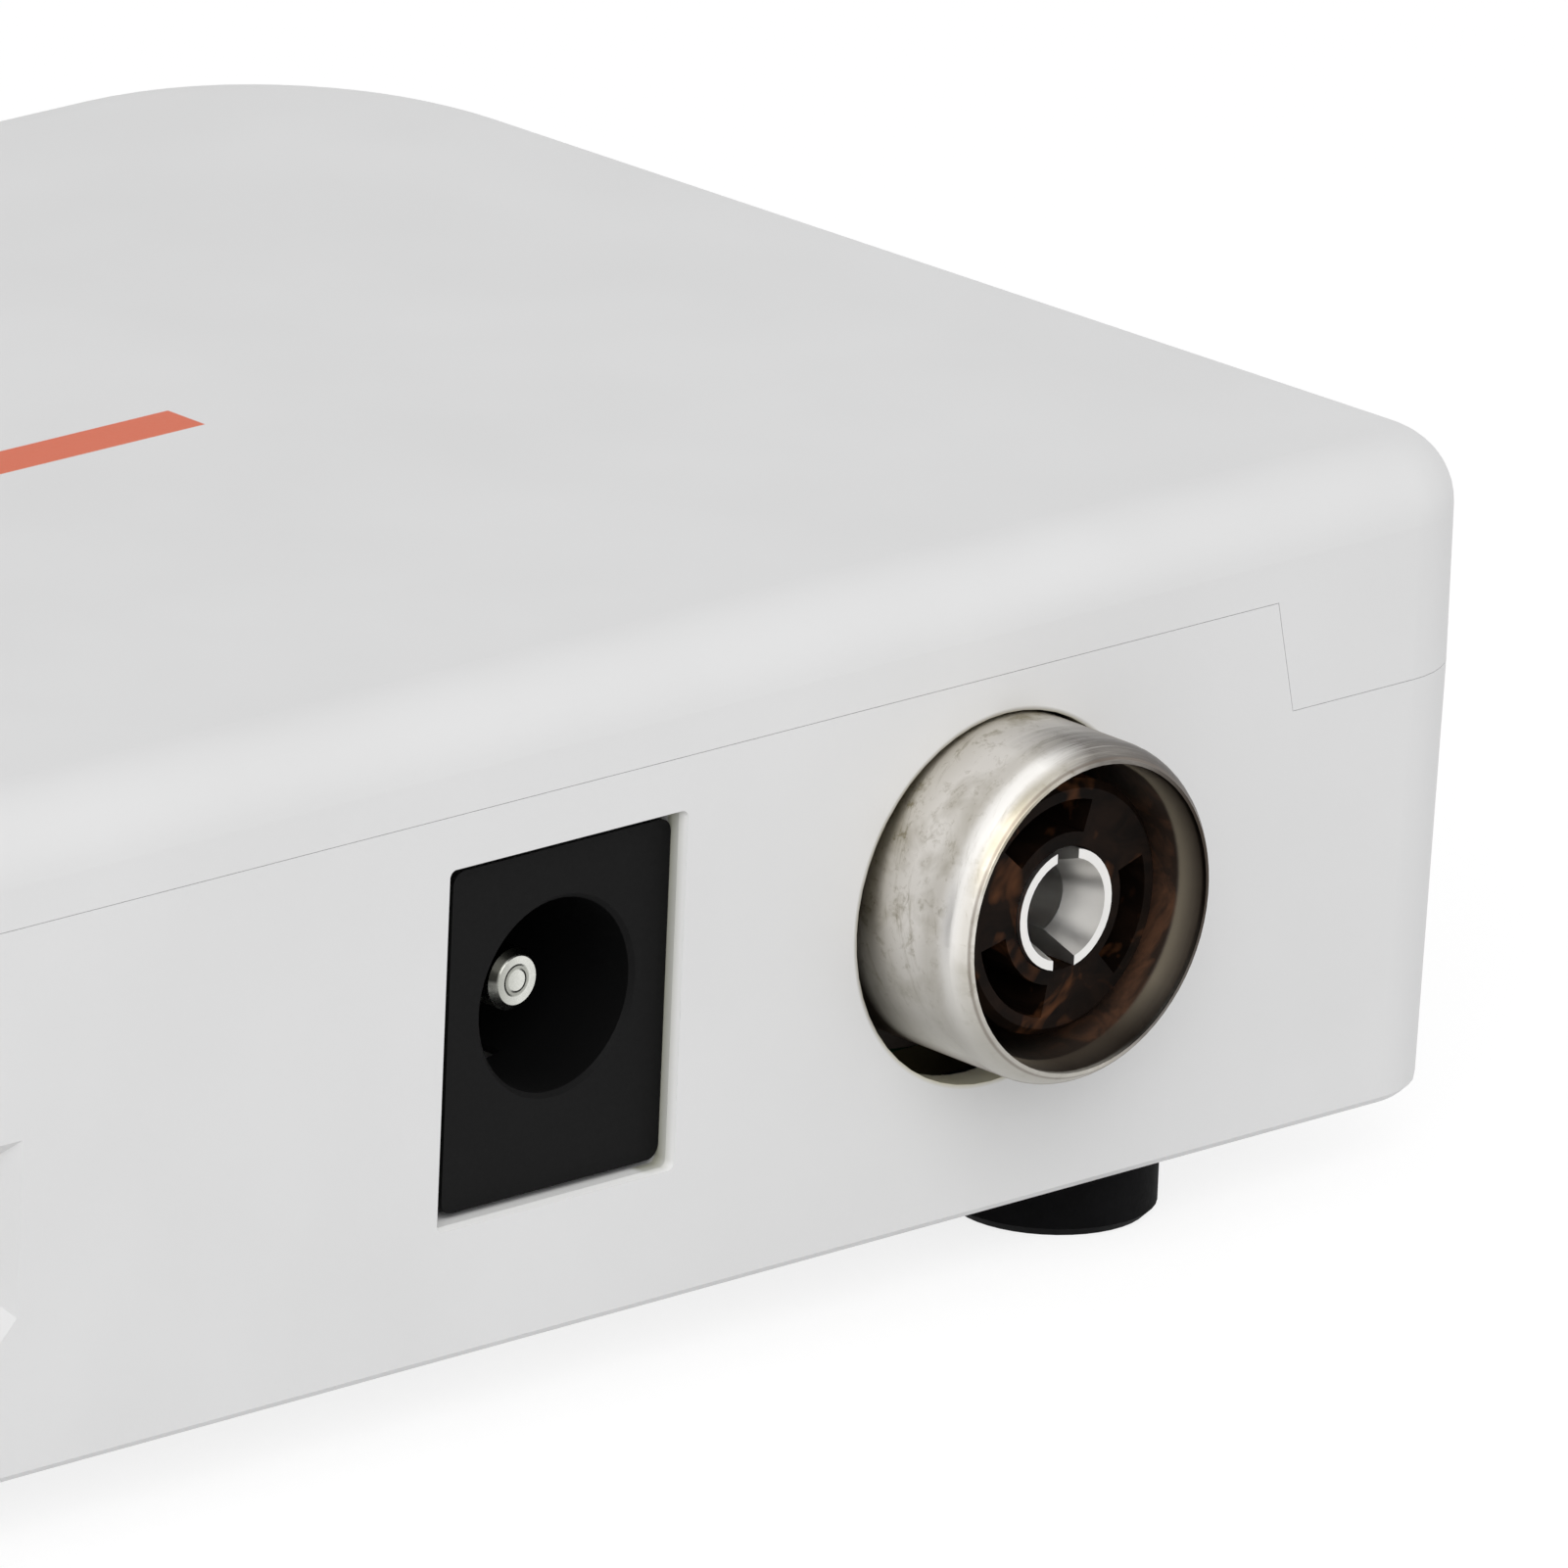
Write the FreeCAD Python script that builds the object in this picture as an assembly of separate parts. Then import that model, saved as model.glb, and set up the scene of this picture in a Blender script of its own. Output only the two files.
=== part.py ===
import FreeCAD, Part

import math
import os

from FreeCAD import Vector

# A small moulded box that takes an aerial lead and a 5 V supply and gives a picture over a video lead.
# Millimetres. +Z is up, the sockets are on the rear face (+Y) and the user sits in front (-Y).
# The origin is under the middle of the whole box, on the surface that the feet stand on.

# Case
case_width = 98.3
case_depth = 54.1
case_height = 21.4
case_wall = 2.0
floor_thickness = 2.0
end_taper = 1.9
rear_corner_radius = 3.4
inner_corner_share = 0.6
front_corner_radius = 10.8
top_edge_radius = 2.4
bottom_edge_chamfer = 0.25
lower_draft = 0.5
end_foot_radius = 2.8
parting_height = 13.95

# Rear tongue of the lower shell, which stands up past the sockets
tongue_rise = 3.7
tongue_end_margin = 8.8
tongue_slope = 0.85
tongue_backing = 0.8
tongue_backing_rise = 0.9
seam_gap = 0.02

# Locating lip of the upper shell
lip_thickness = 0.9
lip_drop = 1.6
lip_clearance = 0.2
lip_root = 1.5
lip_root_overlap = 0.3

# Rubber feet
foot_radius = 3.4
foot_height = 2.4
foot_recess = 0.5
foot_recess_clearance = 0.15
foot_edge_chamfer = 0.3
foot_end_margin = 14.05
foot_face_margin = 4.5

# Case screws, one midway along each end, and the pillars that they join
screw_end_margin = 7.95
boss_radius = 3.2
boss_height = 6.0
boss_root_depth = 0.5
screw_head_radius = 2.5
screw_head_height = 1.7
screw_shank_radius = 1.25
screw_length = 8.0
screw_seat_thickness = 2.0
screw_clearance = 0.3
thread_clearance = 0.03
screw_pilot_extra = 1.0

# Main board
board_thickness = 1.2
board_post_height = 1.3
board_post_radius = 2.6
board_wall_clearance = 0.4
board_boss_clearance = 0.5
board_front_margin = 6.0
board_corner_radius = 1.0
board_notch_margin = 0.3
board_hole_radius = 1.3
board_screw_radius = 1.05
board_screw_length = 3.6
board_pilot_extra = 0.2
board_screw_head_radius = 2.1
board_screw_head_height = 1.2
solder_tail = 0.9
solder_hole_clearance = 0.12

# Aerial socket, a push-on type for a 9.5 mm plug
antenna_end_margin = 21.25
antenna_axis_height = 6.3
sleeve_projection = 4.1
sleeve_radius = 5.5
sleeve_bore_radius = 4.8
sleeve_mouth_radius = 4.94
sleeve_rim_radius = 5.05
sleeve_lead_in = 1.1
sleeve_shoulder_length = 1.0
sleeve_flange_radius = 6.2
sleeve_flange_thickness = 0.6
antenna_hole_clearance = 0.5
antenna_hole_drop = 0.43
antenna_relief_radius = 8.2
antenna_relief_depth = 0.9
insulator_fit = 0.05
insulator_base_thickness = 1.4
insulator_hub_radius = 4.1
insulator_hub_setback = 1.25
insulator_edge_chamfer = 0.25
insulator_pocket_inner_radius = 2.45
insulator_pocket_outer_radius = 3.5
insulator_pocket_depth = 2.6
insulator_pocket_count = 3
insulator_pocket_sweep = 66.0
insulator_pocket_start = 42.0
insulator_spigot_radius = 2.5
insulator_spigot_length = 1.6
contact_radius = 1.95
contact_tip_depth = 1.1
contact_mouth_radius = 1.65
contact_bore_radius = 1.2
contact_lead_in = 1.4
contact_bore_length = 6.0
contact_slot_width = 0.9
contact_slot_length = 5.0
contact_tail_radius = 0.5
contact_tail_length = 3.0

# Screened tuner that carries the aerial socket
tuner_width = 18.0
tuner_front_margin = 10.1
tuner_height = 12.4
tuner_sheet = 0.4
tuner_setback = 4.0
tuner_lid_skirt = 2.6
tuner_lid_clearance = 0.05
tuner_tab_width = 1.6
tuner_tab_inset = 5.0
tuner_board_thickness = 0.8
tuner_board_clearance = 0.05
tuner_board_notch_margin = 0.6
tuner_hole_radius = 1.0
tuner_chip_size = 6.0
tuner_chip_share = 0.58
tuner_chip_height = 0.9
tuner_coil_size = 3.2
tuner_coil_bore = 0.9
tuner_coil_height = 2.6
tuner_coil_floor = 0.5
tuner_coil_count = 3
tuner_coil_first_share = 0.12
tuner_coil_pitch_share = 0.14

# Supply socket for a 5.5 mm plug
jack_end_margin = 39.15
jack_width = 9.0
jack_height = 11.0
jack_length = 14.2
jack_recess = 0.7
jack_axis_height = 6.15
jack_bore_radius = 3.1
jack_bore_depth = 9.6
jack_mouth_chamfer = 0.15
jack_edge_round = 0.45
jack_slot_clearance = 0.42
jack_slot_shift = 0.38
jack_slot_round = 0.25
jack_pin_radius = 1.0
jack_pin_base_radius = 1.3
jack_pin_setback = 1.8
jack_pin_chamfer = 0.22
jack_collar_radius = 1.9
jack_collar_length = 2.2
jack_spring_width = 1.8
jack_spring_thickness = 0.3
jack_spring_length = 6.4
jack_spring_clearance = 0.1
jack_terminal_width = 1.6
jack_terminal_thickness = 0.4
jack_plate_side = 0.6
jack_plate_rise = 2.0
jack_plate_drop = 1.2
jack_rear_leg_inset = 1.0
jack_leaf_leg_inset = 4.2
jack_relief_length = 2.4
cut_overlap = 0.01

# Video socket, the 19-contact type with a 14 mm mouth
video_end_margin = 28.25
video_mouth_width = 14.0
video_mouth_height = 4.55
video_sheet = 0.35
video_length = 11.6
video_recess = 0.8
video_corner_cut = 1.9
video_slot_clearance = 0.65
video_rim_chamfer = 0.5
video_tongue_width = 11.2
video_tongue_thickness = 1.3
video_tongue_setback = 1.2
video_tongue_chamfer = 0.3
video_base_length = 3.4
video_contact_count = 10
video_contact_pitch = 1.0
video_contact_width = 0.4
video_contact_thickness = 0.15
video_contact_setback = 0.8

# Front window with the remote-control receiver and the power light behind it
window_width = 13.0
window_height = 4.6
window_end_margin = 32.15
window_sill = 6.6
window_flange = 1.0
window_flange_thickness = 1.0
window_set_in = 0.25
window_clearance = 0.05
front_part_margin = 0.4
receiver_width = 5.6
receiver_depth = 3.0
receiver_height = 6.6
receiver_lens_radius = 2.1
receiver_lens_depth = 1.1
receiver_lens_taper = 0.8
receiver_offset = 3.0
light_radius = 1.5
light_height = 5.0
light_dome_height = 1.1
light_rim_radius = 1.9
light_rim_height = 0.8

# Parts on the main board
board_hole_end_margin = 17.15
board_hole_front_margin = 3.6
board_rest_end_margin = 15.15
board_rest_rear_margin = 6.0
part_gap = 1.2
video_chip_size = 14.0
video_chip_height = 1.4
video_chip_bevel = 0.3
video_chip_lift = 0.1
video_chip_lead_length = 1.0
video_chip_lead_width = 0.3
video_chip_lead_count = 12
video_chip_lead_pitch = 1.0
video_chip_lead_thickness = 0.2
video_chip_socket_gap = 10.3
memory_chip_length = 18.4
memory_chip_height = 1.1
memory_chip_shift = 4.0
memory_chip_gap = 0.3
memory_chip_front_gap = 1.5
memory_chip_bevel = 0.25
program_chip_length = 5.2
program_chip_width = 4.0
program_chip_height = 1.6
crystal_length = 11.0
crystal_width = 4.6
crystal_height = 3.4
crystal_base_rim = 0.4
crystal_base_height = 0.6
crystal_end_share = 0.49
capacitor_radius = 3.15
capacitor_height = 7.2
capacitor_rim = 0.3
capacitor_count = 3
capacitor_pitch = 7.4
capacitor_gap = 2.0
inductor_size = 5.2
inductor_height = 3.0
inductor_core_radius = 1.8
inductor_core_rise = 0.4
inductor_corner = 0.9
inductor_count = 2
inductor_pitch = 6.6
regulator_length = 6.5
regulator_width = 3.5
regulator_height = 1.6
regulator_tab_width = 3.0
regulator_tab_length = 1.6
regulator_leg_width = 0.7
regulator_leg_pitch = 2.3
regulator_leg_thickness = 0.3
chip_capacitor_length = 1.6
chip_capacitor_width = 0.8
chip_capacitor_count = 6
chip_capacitor_pitch = 2.2

# Levels and faces that follow from the sizes above
rear_y = (case_depth - sleeve_projection) / 2
front_y = rear_y - case_depth
case_bottom = foot_height
parting_z = case_bottom + parting_height
case_top = case_bottom + case_height
floor_top = case_bottom + floor_thickness
ceiling = case_top - case_wall
board_bottom = floor_top + board_post_height
board_top = board_bottom + board_thickness
tongue_top = parting_z + tongue_rise
tongue_half_width = case_width / 2 - tongue_end_margin
antenna_x = antenna_end_margin - case_width / 2
antenna_z = board_top + antenna_axis_height
jack_x = jack_end_margin - case_width / 2
jack_z = board_top + jack_axis_height
video_x = case_width / 2 - video_end_margin
window_x = case_width / 2 - window_end_margin
screw_x = case_width / 2 - screw_end_margin
screw_y = (rear_y + front_y) / 2
boss_top = floor_top + boss_height
board_half_width = screw_x - boss_radius - board_boss_clearance
board_rear_y = rear_y - case_wall - board_wall_clearance
board_front_y = front_y + board_front_margin
tuner_rear_y = rear_y - tuner_setback
tuner_front_y = board_front_y + tuner_front_margin
tuner_length = tuner_rear_y - tuner_front_y
tuner_top = board_top + tuner_height
tuner_board_top = antenna_z - contact_tail_radius
sleeve_front_y = rear_y + sleeve_projection
jack_face_y = rear_y - jack_recess
video_face_y = rear_y - video_recess
video_half_width = video_mouth_width / 2 + video_sheet
video_top = board_top + video_mouth_height + 2 * video_sheet
capacitor_y = jack_face_y - jack_length - jack_terminal_thickness - capacitor_gap - capacitor_radius
capacitor_end_x = jack_x + (capacitor_count - 1.5) * capacitor_pitch + capacitor_radius
video_chip_reach = video_chip_size / 2 + video_chip_lead_length
video_chip_x = capacitor_end_x + part_gap + video_chip_reach
video_chip_y = video_face_y - video_length - video_chip_socket_gap
chip_capacitor_offset = video_chip_reach + part_gap
memory_chip_x = video_chip_x - memory_chip_shift
memory_chip_rear_y = video_chip_y - chip_capacitor_offset - chip_capacitor_length / 2 - memory_chip_gap
memory_chip_front_y = board_front_y + front_part_margin + receiver_depth + memory_chip_front_gap
crystal_x = memory_chip_x - memory_chip_length / 2 - part_gap / 2 - crystal_width / 2 - crystal_base_rim
crystal_y = capacitor_y - capacitor_radius - part_gap - crystal_length / 2 - crystal_base_rim
program_chip_x = memory_chip_x - memory_chip_length / 2 - 2 * part_gap - program_chip_width / 2
program_chip_y = crystal_y - crystal_length / 2 - 2 * part_gap - program_chip_length / 2
regulator_x = program_chip_x - program_chip_width / 2 - 2 * part_gap - regulator_length / 2
regulator_y = program_chip_y + part_gap
inductor_x = video_chip_x + video_chip_reach + part_gap + inductor_size / 2
inductor_y = video_chip_y
board_holes = [
    (side * (case_width / 2 - board_hole_end_margin), board_front_y + board_hole_front_margin)
    for side in (-1, 1)
]
board_rests = [
    (case_width / 2 - board_rest_end_margin, board_rear_y - board_rest_rear_margin),
    ((jack_x + jack_width / 2 + video_x - video_half_width) / 2, board_rear_y - board_rest_rear_margin),
]
foot_places = [
    (side * (case_width / 2 - foot_end_margin), y)
    for side in (-1, 1)
    for y in (rear_y - foot_face_margin, front_y + foot_face_margin)
]
screw_places = [(side * screw_x, screw_y) for side in (-1, 1)]


def block(x_low, x_high, y_low, y_high, z_low, z_high):
    """A box given by its six faces."""
    size = Vector(x_high - x_low, y_high - y_low, z_high - z_low)
    return Part.makeBox(size.x, size.y, size.z, Vector(x_low, y_low, z_low))


def post(x, y, z_low, z_high, radius):
    """An upright cylinder."""
    return Part.makeCylinder(radius, z_high - z_low, Vector(x, y, z_low))


def turned(points, x, z, sweep=360):
    """A body turned from +X towards +Z about the line along Y through (x, z); points are (radius, y)."""
    outline = [Vector(x + radius, y, z) for radius, y in points]
    face = Part.Face(Part.makePolygon(outline + outline[:1]))
    return face.revolve(Vector(x, 0, z), Vector(0, -1, 0), sweep)


def turned_upright(points, x, y):
    """A body of revolution about the upright line through (x, y); points are (radius, z)."""
    outline = [Vector(x + radius, y, z) for radius, z in points]
    face = Part.Face(Part.makePolygon(outline + outline[:1]))
    return face.revolve(Vector(x, y, 0), Vector(0, 0, 1), 360)


def rear_profile(points, y_low, y_high):
    """A prism along Y from an outline of (x, z) points."""
    outline = [Vector(x, y_low, z) for x, z in points]
    face = Part.Face(Part.makePolygon(outline + outline[:1]))
    return face.extrude(Vector(0, y_high - y_low, 0))


def joined(shapes):
    """One solid from shapes that meet."""
    shapes = list(shapes)
    return shapes[0].multiFuse(shapes[1:]).removeSplitter()


def upright_edges(shape, y_test):
    """Edges of a tapered block that rise from its base, where y_test holds."""
    tallest = max(e.BoundBox.ZLength for e in shape.Edges)
    return [e for e in shape.Edges if e.BoundBox.ZLength > 0.9 * tallest and y_test(e.BoundBox.Center.y)]


def level_edges(shape, z):
    """Edges that lie flat at height z."""
    return [e for e in shape.Edges if e.BoundBox.ZLength < 1e-6 and abs(e.BoundBox.ZMin - z) < 1e-6]


def plan_corners(z, wall, draft):
    """Corners of the case outline at height z, set in by a wall and, save at the rear, by the draft."""
    def half_width(y):
        return case_width / 2 - wall - draft - end_taper * (rear_y - y) / case_depth

    y_rear = rear_y - wall
    y_front = front_y + wall + draft
    return [Vector(-half_width(y_rear), y_rear, z), Vector(half_width(y_rear), y_rear, z),
            Vector(half_width(y_front), y_front, z), Vector(-half_width(y_front), y_front, z)]


def case_block(z_low, z_high, wall, draft=0):
    """Block with the case's rounded corners; a wall makes it a cavity and a draft narrows it downwards."""
    low = plan_corners(z_low, wall, draft)
    high = plan_corners(z_high, wall, 0)
    loops = [low, high]
    for index in range(4):
        after = (index + 1) % 4
        loops.append([low[index], low[after], high[after], high[index]])
    faces = [Part.Face(Part.makePolygon(loop + loop[:1])) for loop in loops]
    body = Part.makeSolid(Part.makeShell(faces))
    rear_edges = upright_edges(body, lambda y: y > 0)
    body = body.makeFillet(rear_corner_radius - inner_corner_share * wall, rear_edges)
    front_edges = upright_edges(body, lambda y: y < front_y / 2)
    return body.makeFillet(front_corner_radius - wall, front_edges)


def tongue_outline(gap):
    """Outline of the raised tongue on the rear wall, grown by a gap."""
    half_low = tongue_half_width + gap
    half_high = half_low - tongue_slope
    low = parting_z - lip_root
    high = tongue_top + gap
    return [(-half_low, low), (half_low, low), (half_low, parting_z), (half_high, high),
            (-half_high, high), (-half_low, parting_z)]


def video_outline(grow):
    """Section of the video socket: a flat top and two cut lower corners, grown by a clearance."""
    half = video_half_width + grow
    low = board_top - grow
    high = video_top + grow
    cut = video_corner_cut
    return [(video_x - half, high), (video_x - half, low + cut), (video_x - half + cut, low),
            (video_x + half - cut, low), (video_x + half, low + cut), (video_x + half, high)]


def case_screw_pocket(x, y):
    """Hole from below for one case screw: a head pocket and a clearance hole."""
    pocket_top = boss_top - screw_seat_thickness
    pocket = post(x, y, case_bottom - 1, pocket_top, screw_head_radius + screw_clearance)
    return pocket.fuse(post(x, y, pocket_top, boss_top + 1, screw_shank_radius + screw_clearance))


def end_foot_cut(side):
    """What is cut from the foot of one end to round it, as a prism that follows the end's taper."""
    radius = end_foot_radius
    face_x = case_width / 2 - lower_draft * (1 - radius / parting_height)
    y = rear_y + 1

    def at(x, rise):
        return Vector(side * x, y, case_bottom + rise)

    low = at(face_x - radius, 0)
    middle = at(face_x - radius * (1 - math.sqrt(0.5)), radius * (1 - math.sqrt(0.5)))
    high = at(face_x, radius)
    rest = Part.makePolygon([high, at(face_x + 2, radius), at(face_x + 2, -1), at(face_x - radius, -1), low])
    outline = Part.Wire([Part.Arc(low, middle, high).toShape()] + rest.Edges)
    prism = Part.Face(outline).extrude(Vector(0, -case_depth - 2, 0))
    taper_angle = math.degrees(math.atan(end_taper / case_depth))
    prism.rotate(Vector(side * face_x, rear_y, 0), Vector(0, 0, 1), -side * taper_angle)
    return prism


def make_bottom_shell():
    """Lower case half: tray, raised rear tongue, bosses, board posts and socket openings."""
    body = case_block(case_bottom, parting_z, 0, lower_draft)
    body = body.makeChamfer(bottom_edge_chamfer, level_edges(body, case_bottom))
    body = body.cut(Part.makeCompound([end_foot_cut(side) for side in (-1, 1)]))
    floor_draft = lower_draft * (1 - floor_thickness / parting_height)
    cavity = case_block(floor_top, parting_z, case_wall, floor_draft)
    tray = body.cut(cavity)
    tongue = rear_profile(tongue_outline(0), rear_y - case_wall, rear_y)
    backing_y = rear_y - case_wall - tongue_backing
    backing = rear_profile(tongue_outline(tongue_backing_rise), backing_y, backing_y + tongue_backing)
    bosses = [post(x, y, floor_top - boss_root_depth, boss_top, boss_radius) for x, y in screw_places]
    posts = [post(x, y, floor_top - boss_root_depth, board_bottom, board_post_radius)
             for x, y in board_holes + board_rests]
    shell = joined([tray, tongue, backing] + bosses + posts)
    cuts = [case_screw_pocket(x, y) for x, y in screw_places]
    pilot_radius = board_screw_radius + thread_clearance
    pilot_low = board_top - board_screw_length - board_pilot_extra
    cuts += [post(x, y, pilot_low, board_bottom + 1, pilot_radius) for x, y in board_holes]
    recess_radius = foot_radius + foot_recess_clearance
    cuts += [post(x, y, case_bottom - 1, case_bottom + foot_recess, recess_radius) for x, y in foot_places]
    cuts += [antenna_hole(), jack_slot(), video_slot(), window_opening()]
    return shell.cut(Part.makeCompound(cuts))


def antenna_hole():
    """Round hole that the aerial sleeve passes through, set a little low, with a wider relief inside."""
    centre = Vector(antenna_x, rear_y - case_wall - 1, antenna_z - antenna_hole_drop)
    hole = Part.makeCylinder(sleeve_radius + antenna_hole_clearance, case_wall + 2, centre, Vector(0, 1, 0))
    relief = Part.makeCylinder(antenna_relief_radius, antenna_relief_depth + 1, centre, Vector(0, 1, 0))
    return hole.fuse(relief)


def jack_slot():
    """Opening round the supply socket, with rounded corners."""
    middle = jack_x + jack_slot_shift
    half = jack_width / 2 + jack_slot_clearance
    low = board_top - jack_slot_clearance / 2
    high = board_top + jack_height + jack_slot_clearance
    slot = block(middle - half, middle + half, rear_y - case_wall - 1, rear_y + 1, low, high)
    edges = [e for e in slot.Edges if e.BoundBox.YLength > case_wall]
    return slot.makeFillet(jack_slot_round, edges)


def video_slot():
    """Opening round the video socket with a chamfered outer rim."""
    slot = rear_profile(video_outline(video_slot_clearance), rear_y - case_wall - 1, rear_y + 1)
    inner = Part.makePolygon(closed_rear_points(video_slot_clearance, rear_y - video_rim_chamfer))
    outer = Part.makePolygon(closed_rear_points(video_slot_clearance + video_rim_chamfer, rear_y))
    return slot.fuse(Part.makeLoft([inner, outer], True, True))


def closed_rear_points(grow, y):
    """Closed list of points of the video outline at one depth."""
    points = [Vector(x, y, z) for x, z in video_outline(grow)]
    return points + points[:1]


def window_opening():
    """Rectangular opening in the front wall for the window."""
    low = case_bottom + window_sill
    half = window_width / 2
    return block(window_x - half, window_x + half, front_y - 1, front_y + 2 * case_wall,
                 low, low + window_height)


def make_top_shell():
    """Upper case half: cover with a rounded top edge, locating lip and screw pillars."""
    body = case_block(parting_z + seam_gap, case_top, 0)
    body = body.makeFillet(top_edge_radius, level_edges(body, case_top))
    cavity = case_block(parting_z - 1, ceiling, case_wall)
    cover = body.cut(cavity)
    pillars = [post(x, y, boss_top, ceiling + boss_root_depth, boss_radius) for x, y in screw_places]
    shell = joined([cover, make_lip()] + pillars)
    pilot = screw_length - screw_seat_thickness + screw_pilot_extra
    radius = screw_shank_radius + thread_clearance
    cuts = [post(x, y, boss_top - 1, boss_top + pilot, radius) for x, y in screw_places]
    cuts.append(rear_profile(tongue_outline(seam_gap), rear_y - case_wall - 1, rear_y + 1))
    return shell.cut(Part.makeCompound(cuts))


def make_lip():
    """Lip inside the walls that drops behind the lower shell's wall, left out behind the tongue."""
    gap = case_wall + lip_clearance
    seam = parting_z + seam_gap
    root_block = case_block(seam, seam + lip_root, case_wall - lip_root_overlap)
    drop_block = case_block(parting_z - lip_drop, seam, gap)
    hollow = case_block(parting_z - lip_drop - 1, seam + lip_root + 1, gap + lip_thickness)
    lip = root_block.fuse(drop_block).cut(hollow)
    half = tongue_half_width + tongue_backing_rise + lip_clearance
    behind_tongue = block(-half, half, 0, rear_y + 1, parting_z - lip_drop - 1, seam + lip_root + 1)
    return lip.cut(behind_tongue)


def make_feet():
    """Four round rubber feet, each let into a shallow recess."""
    feet = []
    for x, y in foot_places:
        foot = post(x, y, 0, case_bottom + foot_recess, foot_radius)
        feet.append(foot.makeChamfer(foot_edge_chamfer, level_edges(foot, 0)))
    return Part.makeCompound(feet)


def screw(x, y, seat, head_up, head_radius, head_height, shank_radius, shank_length):
    """Screw whose head tapers away from its seat, with the shank on the other side."""
    sign = 1 if head_up else -1
    head = Part.makeCone(head_radius, head_radius - head_height / 3, head_height,
                         Vector(x, y, seat), Vector(0, 0, sign))
    shank = Part.makeCylinder(shank_radius, shank_length, Vector(x, y, seat), Vector(0, 0, -sign))
    return head.fuse(shank)


def make_case_screws():
    """Two screws from below into the pillars of the upper shell."""
    seat = boss_top - screw_seat_thickness
    return Part.makeCompound([
        screw(x, y, seat, False, screw_head_radius, screw_head_height, screw_shank_radius, screw_length)
        for x, y in screw_places
    ])


def make_board_screws():
    """Two screws that hold the front of the board; at the rear it lies on plain posts."""
    return Part.makeCompound([
        screw(x, y, board_top, True, board_screw_head_radius, board_screw_head_height,
              board_screw_radius, board_screw_length)
        for x, y in board_holes
    ])


def tuner_tab_places():
    """Centres of the tuner's four solder tabs."""
    half = tuner_width / 2 - tuner_sheet / 2
    rows = (tuner_rear_y - tuner_tab_inset, tuner_front_y + tuner_tab_inset)
    return [(antenna_x + side * half, y) for side in (-1, 1) for y in rows]


def jack_terminal_places():
    """Centres of the supply socket's two solder terminals."""
    back = jack_face_y - jack_length
    return [(jack_x, back + jack_rear_leg_inset), (jack_x, back + jack_leaf_leg_inset)]


def make_circuit_board():
    """Main board with its screw holes and solder slots."""
    board = block(-board_half_width, board_half_width, board_front_y, board_rear_y, board_bottom, board_top)
    board = board.makeFillet(board_corner_radius, upright_edges(board, lambda y: True))
    cuts = [post(x, y, board_bottom - 1, board_top + 1, board_hole_radius) for x, y in board_holes]
    slot_x = tuner_sheet / 2 + solder_hole_clearance
    slot_y = tuner_tab_width / 2 + solder_hole_clearance
    cuts += [block(x - slot_x, x + slot_x, y - slot_y, y + slot_y, board_bottom - 1, board_top + 1)
             for x, y in tuner_tab_places()]
    slot_x = jack_terminal_width / 2 + solder_hole_clearance
    slot_y = jack_terminal_thickness / 2 + solder_hole_clearance
    cuts += [block(x - slot_x, x + slot_x, y - slot_y, y + slot_y, board_bottom - 1, board_top + 1)
             for x, y in jack_terminal_places()]
    notch_half = sleeve_flange_radius + board_notch_margin
    notch_low = tuner_rear_y + tuner_lid_clearance + tuner_sheet
    cuts.append(block(antenna_x - notch_half, antenna_x + notch_half, notch_low, board_rear_y + 1,
                      board_bottom - 1, board_top + 1))
    return board.cut(Part.makeCompound(cuts))


def make_antenna_sleeve():
    """Nickel-plated outer sleeve with a long rounded shoulder, a lead-in and a rear flange."""
    rear = tuner_rear_y
    flange_front = rear + sleeve_flange_thickness
    shoulder_y = sleeve_front_y - sleeve_shoulder_length
    drop = sleeve_radius - sleeve_rim_radius
    curve = (drop ** 2 + sleeve_shoulder_length ** 2) / (2 * drop)
    half_way = sleeve_shoulder_length / 2
    middle_radius = sleeve_radius - curve + math.sqrt(curve ** 2 - half_way ** 2)

    def at(radius, y):
        return Vector(antenna_x + radius, y, antenna_z)

    before = [at(sleeve_bore_radius, rear), at(sleeve_flange_radius, rear),
              at(sleeve_flange_radius, flange_front), at(sleeve_radius, flange_front),
              at(sleeve_radius, shoulder_y)]
    after = [at(sleeve_rim_radius, sleeve_front_y), at(sleeve_mouth_radius, sleeve_front_y),
             at(sleeve_bore_radius, sleeve_front_y - sleeve_lead_in), before[0]]
    shoulder = Part.Arc(before[-1], at(middle_radius, shoulder_y + half_way), after[0]).toShape()
    outline = Part.Wire(Part.makePolygon(before).Edges + [shoulder] + Part.makePolygon(after).Edges)
    return Part.Face(outline).revolve(Vector(antenna_x, 0, antenna_z), Vector(0, 1, 0), 360)


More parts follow.
